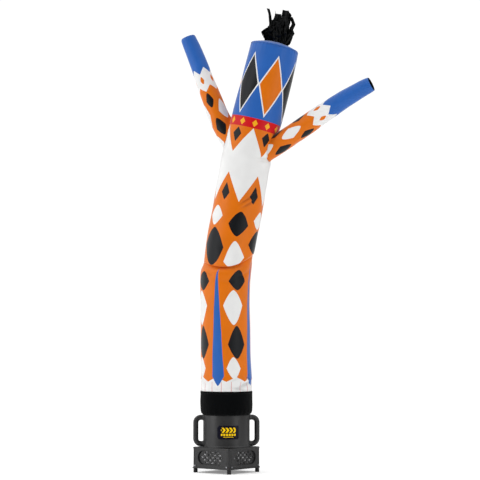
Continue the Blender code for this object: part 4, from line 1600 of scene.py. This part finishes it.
def build_feet():
    """A ribbed foot under each corner, of moulded rubber: a dull near-black with a pitted skin."""
    foot = start_piece(
        "foot", bpy.ops.mesh.primitive_circle_add,
        vertices=40, radius=0.0105, fill_type="NGON", location=(0, 0, FLOOR),
    )
    steps = (
        (0.0006, 0.0118), (0.0014, 0.0125), (0.010, 0.0125), (0.0006, 0.0119), (0.0012, 0.0119),
        (0.0006, 0.0125), (0.0098, 0.0125),
    )
    raise_cap(0.0105, steps)
    bpy.ops.mesh.select_all(action="SELECT")
    bpy.ops.transform.translate(value=(FOOT_REACH, 0, 0))
    end_piece()
    rubber = bpy.context.scene.dancer_blower.rubber
    names = [f"rubber_foot_{index + 1}" for index in range(4)]
    for index, piece in enumerate(copies(foot, CORNER_TURNS, names)):
        skin = plain(piece.name, rubber, 0.75, grain=1.4 * MM, bump=0.3)
        finish_piece(piece, "rubber", skin, f"foot_{index + 1}")


def build_screws():
    """Two hex screws beside each corner, which hold the plate to the housing.

    Zinc-plated steel: bright grey heads, blurred by the plating's fine crystals.
    """
    screws = start_piece(
        "housing_screws", bpy.ops.mesh.primitive_circle_add,
        vertices=6, radius=0.0052, fill_type="NGON", location=(0, 0, 0),
    )
    raise_cap(0.0052, ((0.0035, 0.0052), (0.0007, 0.0044)))
    bpy.ops.mesh.select_all(action="SELECT")
    bpy.ops.transform.rotate(value=math.pi / 2, orient_axis="X", center_override=(0, 0, 0))
    end_piece(math.radians(25))
    low = min(vertex.co.y for vertex in screws.data.vertices)
    proud, height = 0.0040, 0.0175
    screws.data.transform(Matrix.Translation((0, -BASE_SIDE / 2 - proud - low, height)))
    repeat(screws.data, round_faces((-SCREW_SIDE, SCREW_SIDE), FACE_TURNS))
    steel = plain("zinc_plated_steel", linear("#959599"), 0.38, 0.9, grain=2.5 * MM, bump=0.08)
    finish_piece(screws, "shell", steel)


def label_film():
    """Printed vinyl, navy with plain amber bars and chevrons, under a glossy laminate.

    Its formula's sizes are metres on the flat label, from its middle.
    """
    material, tree, shader = new_material("vinyl_label")
    blower = bpy.context.scene.dancer_blower
    shader.inputs["Roughness"].default_value = 0.30
    shader.inputs["Specular IOR Level"].default_value = 0.12
    label_map = add_node(tree, "ShaderNodeUVMap", uv_map="label").outputs[0]
    split = add_node(tree, "ShaderNodeSeparateXYZ", {0: label_map})
    steps = (
        ("from_middle", "ABSOLUTE", "x"),
        ("tall", "SUBTRACT", "y", 0.013),
        ("drop", "ABSOLUTE", "tall"),
        ("slide", "MULTIPLY_ADD", "drop", 0.8, "x"),
        ("cell", "PINGPONG", "slide", 0.011),
        ("stripe", "LESS_THAN", "cell", 0.0062),
        ("outer", "LESS_THAN", "from_middle", 0.044),
        ("high", "LESS_THAN", "drop", 0.0150),
        ("inside", "MULTIPLY", "outer", "high"),
        ("chevrons", "MULTIPLY", "stripe", "inside"),
        ("row", "COMPARE", "y", -0.014, 0.0062),
        ("dash", "PINGPONG", "x", 0.008),
        ("dashes", "GREATER_THAN", "dash", 0.0022),
        ("block", "MULTIPLY", "row", "dashes"),
        ("second", "MULTIPLY", "block", "outer"),
        ("under", "COMPARE", "y", -0.0275, 0.0016),
        ("short", "LESS_THAN", "from_middle", 0.030),
        ("bar", "MULTIPLY", "under", "short"),
        ("upper", "MAXIMUM", "chevrons", "second"),
        ("print", "MAXIMUM", "upper", "bar"),
    )
    mask = work_out(tree, {"x": split.outputs[0], "y": split.outputs[1]}, steps)["print"]
    inputs = {0: mask, 6: (*blower.navy, 1), 7: (*blower.amber, 1)}
    paint = add_node(tree, "ShaderNodeMix", inputs, data_type="RGBA").outputs[2]
    tree.links.new(paint, shader.inputs["Base Color"])
    return material


def build_label():
    """A thin bent plate with round corners on the drum's front, and a map of its flat size."""
    radius, low, high, span, corner = 0.1389, 0.179, 0.259, 54, 0.012
    rows = 16
    half_width, half_height = math.radians(span / 2) * radius, (high - low) / 2
    label = start_piece(
        "label_plate_film", bpy.ops.mesh.primitive_circle_add,
        vertices=240, radius=radius, fill_type="NOTHING", location=(0, 0, low),
    )
    for _ in range(rows):
        push(0, 0, (high - low) / rows)

    def flat_place(point):
        turn = math.atan2(point.x, -point.y) - math.radians(BASE_TURN)
        return turn * radius, point.z - (low + high) / 2

    def outside(face):
        across, up = map(abs, flat_place(face.calc_center_median()))
        past = Vector((max(across - half_width + corner, 0), max(up - half_height + corner, 0)))
        return across > half_width or past.length > corner

    choose(label, "faces", outside)
    bpy.ops.mesh.delete(type="FACE")
    end_piece()
    bm = bmesh.new()
    bm.from_mesh(label.data)
    uv = bm.loops.layers.uv.new("label")
    for face in bm.faces:
        for loop in face.loops:
            loop[uv].uv = flat_place(loop.vert.co)
    bm.to_mesh(label.data)
    bm.free()
    apply_modifier(label, "wall", "SOLIDIFY", thickness=0.0009, offset=1, use_rim=True)
    finish_piece(label, "label", label_film(), "label_plate")


# Studio

def light_box(name, place, watts):
    """A tall soft box beside the tube, aimed at its middle."""
    lamp = bpy.data.lights.new(name, "AREA")
    lamp.shape = "RECTANGLE"
    lamp.size, lamp.size_y = 1.2, 5.0
    lamp.energy = watts
    box = add_object(name, lamp)
    box.location = place
    aim = Vector((0, 0, 1.4)) - Vector(place)
    box.rotation_euler = aim.to_track_quat("-Z", "Y").to_euler()


# Where the studio's walls are bright: axis, where the glow starts, where it is full, its strength.
SKY_ROWS = (
    ("Y", -0.30, 0.50, 0.28),
    ("X", -0.45, -0.95, 0.70),
    ("X", 0.45, 0.95, 0.18),
    ("Z", 0.30, 0.90, 1.22),
)


def studio_world(strength):
    """White to the camera; as light, a dark room with a bright ceiling, side walls and backdrop."""
    world = bpy.data.worlds.new("studio")
    bpy.context.scene.world = world
    world.use_nodes = True
    tree = world.node_tree
    tree.nodes.clear()
    way = add_node(tree, "ShaderNodeTexCoord").outputs["Generated"]
    split = add_node(tree, "ShaderNodeSeparateXYZ", {0: way}).outputs
    glow = 0.0
    for axis, start, full, level in SKY_ROWS:
        wall = add_node(
            tree, "ShaderNodeMapRange",
            {"Value": split[axis], "From Min": start, "From Max": full, "To Max": level * strength},
            interpolation_type="SMOOTHSTEP",
        )
        inputs = {0: wall.outputs[0], 1: glow}
        glow = add_node(tree, "ShaderNodeMath", inputs, operation="ADD").outputs[0]
    seen = add_node(tree, "ShaderNodeLightPath").outputs["Is Camera Ray"]
    level = add_node(tree, "ShaderNodeMapRange", {"Value": seen, "To Min": glow, "To Max": 1.05})
    inputs = {"Color": (1, 1, 1, 1), "Strength": level.outputs[0]}
    background = add_node(tree, "ShaderNodeBackground", inputs)
    add_node(tree, "ShaderNodeOutputWorld", {"Surface": background.outputs[0]})


def build_floor():
    """Matt white paper, seamless with the backdrop, that keeps only the shadow under the feet."""
    half = 9.0
    corners = [(x, y, FLOOR) for x, y in ((-half, -half), (half, -half), (half, half), (-half, half))]
    mesh = bpy.data.meshes.new("studio_floor")
    mesh.from_pydata(corners, [], [(0, 1, 2, 3)])
    paper = plain("white_paper_floor", linear("#F3F3F3"), 0.9)
    mesh.materials.append(paper)
    tree = paper.node_tree
    seen = add_node(tree, "ShaderNodeLightPath").outputs["Is Camera Ray"]
    glow = add_node(tree, "ShaderNodeMath", {0: seen, 1: 0.22}, operation="MULTIPLY")
    shader = tree.nodes["Principled BSDF"]
    shader.inputs["Emission Color"].default_value = (1, 1, 1, 1)
    tree.links.new(glow.outputs[0], shader.inputs["Emission Strength"])
    add_object("studio_floor", mesh)


def build_stage():
    """White floor and backdrop, a soft box on each side and the camera."""
    scene = bpy.context.scene
    stage = scene.dancer_stage
    studio_world(stage.sky)
    build_floor()
    light_box("box_left", (-3.34, -1.35, 2.3), stage.side_watts)
    light_box("box_right", (2.80, -2.27, 2.3), 0.93 * stage.side_watts)
    lens = bpy.data.cameras.new("camera")
    lens.lens = stage.lens
    lens.sensor_width = 36
    camera = add_object("camera", lens)
    camera.location = (stage.aim_x, -stage.camera_distance, stage.camera_height)
    aim = Vector((stage.aim_x, 0, stage.aim_height)) - camera.location
    camera.rotation_euler = aim.to_track_quat("-Z", "Y").to_euler()
    scene.camera = camera
    scene.view_settings.view_transform = "Standard"


# Operators and panel

class DANCER_OT_tube(bpy.types.Operator):
    """Model the printed tube with its creases, seams and air holes"""

    bl_idname = "dancer.tube"
    bl_label = "Tube"

    def execute(self, context):
        build_tube()
        return {"FINISHED"}


class DANCER_OT_sleeves(bpy.types.Operator):
    """Model the two sleeves sewn round the tube's air holes"""

    bl_idname = "dancer.sleeves"
    bl_label = "Sleeves"

    def execute(self, context):
        whole = whole_shoulders()
        for name in ARM_ROWS:
            build_arm(name, whole)
        return {"FINISHED"}


class DANCER_OT_crown(bpy.types.Operator):
    """Model the crown that closes the tube's top"""

    bl_idname = "dancer.crown"
    bl_label = "Crown"

    def execute(self, context):
        build_crown()
        return {"FINISHED"}


class DANCER_OT_cuff(bpy.types.Operator):
    """Model the black cuff between the tube and the drum"""

    bl_idname = "dancer.cuff"
    bl_label = "Cuff"

    def execute(self, context):
        build_cuff()
        return {"FINISHED"}


class DANCER_OT_streamers(bpy.types.Operator):
    """Model the tuft of black streamers on the crown"""

    bl_idname = "dancer.streamers"
    bl_label = "Streamers"

    def execute(self, context):
        build_streamers()
        return {"FINISHED"}


class DANCER_OT_drum(bpy.types.Operator):
    """Model the blower's drum with its neck and flared foot"""

    bl_idname = "dancer.drum"
    bl_label = "Drum"

    def execute(self, context):
        build_drum()
        return {"FINISHED"}


class DANCER_OT_handles(bpy.types.Operator):
    """Model the drum's two grips"""

    bl_idname = "dancer.handles"
    bl_label = "Grips"

    def execute(self, context):
        build_handles()
        return {"FINISHED"}


class DANCER_OT_housing(bpy.types.Operator):
    """Model the fan housing, open at its sides and its throat"""

    bl_idname = "dancer.housing"
    bl_label = "Housing"

    def execute(self, context):
        build_housing()
        return {"FINISHED"}


class DANCER_OT_plate(bpy.types.Operator):
    """Model the housing's bottom plate"""

    bl_idname = "dancer.plate"
    bl_label = "Bottom plate"

    def execute(self, context):
        build_plate()
        return {"FINISHED"}


class DANCER_OT_intakes(bpy.types.Operator):
    """Model the four intake grilles and the screens behind them"""

    bl_idname = "dancer.intakes"
    bl_label = "Intakes"

    def execute(self, context):
        build_intakes()
        return {"FINISHED"}


class DANCER_OT_feet(bpy.types.Operator):
    """Model the four ribbed rubber feet"""

    bl_idname = "dancer.feet"
    bl_label = "Feet"

    def execute(self, context):
        build_feet()
        return {"FINISHED"}


class DANCER_OT_screws(bpy.types.Operator):
    """Model the screws that hold the plate to the housing"""

    bl_idname = "dancer.screws"
    bl_label = "Screws"

    def execute(self, context):
        build_screws()
        return {"FINISHED"}


class DANCER_OT_label(bpy.types.Operator):
    """Model the printed label on the drum's front"""

    bl_idname = "dancer.label"
    bl_label = "Label"

    def execute(self, context):
        build_label()
        return {"FINISHED"}


class DANCER_OT_stage(bpy.types.Operator):
    """Set up the studio's floor, lights and camera"""

    bl_idname = "dancer.stage"
    bl_label = "Studio"

    def execute(self, context):
        build_stage()
        return {"FINISHED"}


OPERATORS = (
    DANCER_OT_tube, DANCER_OT_sleeves, DANCER_OT_crown, DANCER_OT_cuff, DANCER_OT_streamers,
    DANCER_OT_drum, DANCER_OT_handles, DANCER_OT_housing, DANCER_OT_plate, DANCER_OT_intakes,
    DANCER_OT_feet, DANCER_OT_screws, DANCER_OT_label, DANCER_OT_stage,
)


SETTINGS = {
    "dancer_cloth": DancerCloth, "dancer_blower": DancerBlower, "dancer_stage": DancerStage,
}


class DANCER_PT_finishes(bpy.types.Panel):
    """The air dancer's settings and steps"""

    bl_idname = "DANCER_PT_finishes"
    bl_label = "Air dancer"
    bl_space_type = "VIEW_3D"
    bl_region_type = "UI"
    bl_category = "Air Dancer"

    def draw(self, context):
        for name, kind in SETTINGS.items():
            box = self.layout.box()
            for key in kind.__annotations__:
                box.prop(getattr(context.scene, name), key)
        for operator in OPERATORS:
            self.layout.operator(operator.bl_idname)


def register():
    """Registers the settings, the operators and the panel."""
    for kind in (*SETTINGS.values(), *OPERATORS, DANCER_PT_finishes):
        bpy.utils.register_class(kind)
    for name, kind in SETTINGS.items():
        setattr(bpy.types.Scene, name, PointerProperty(type=kind))


def unregister():
    """Takes back what register adds."""
    for name in SETTINGS:
        delattr(bpy.types.Scene, name)
    for kind in (DANCER_PT_finishes, *reversed(OPERATORS), *SETTINGS.values()):
        bpy.utils.unregister_class(kind)


def main():
    """Models every piece and the studio."""
    register()
    for operator in OPERATORS:
        getattr(bpy.ops.dancer, operator.bl_idname.split(".")[1])()


if __name__ == "__main__":
    main()
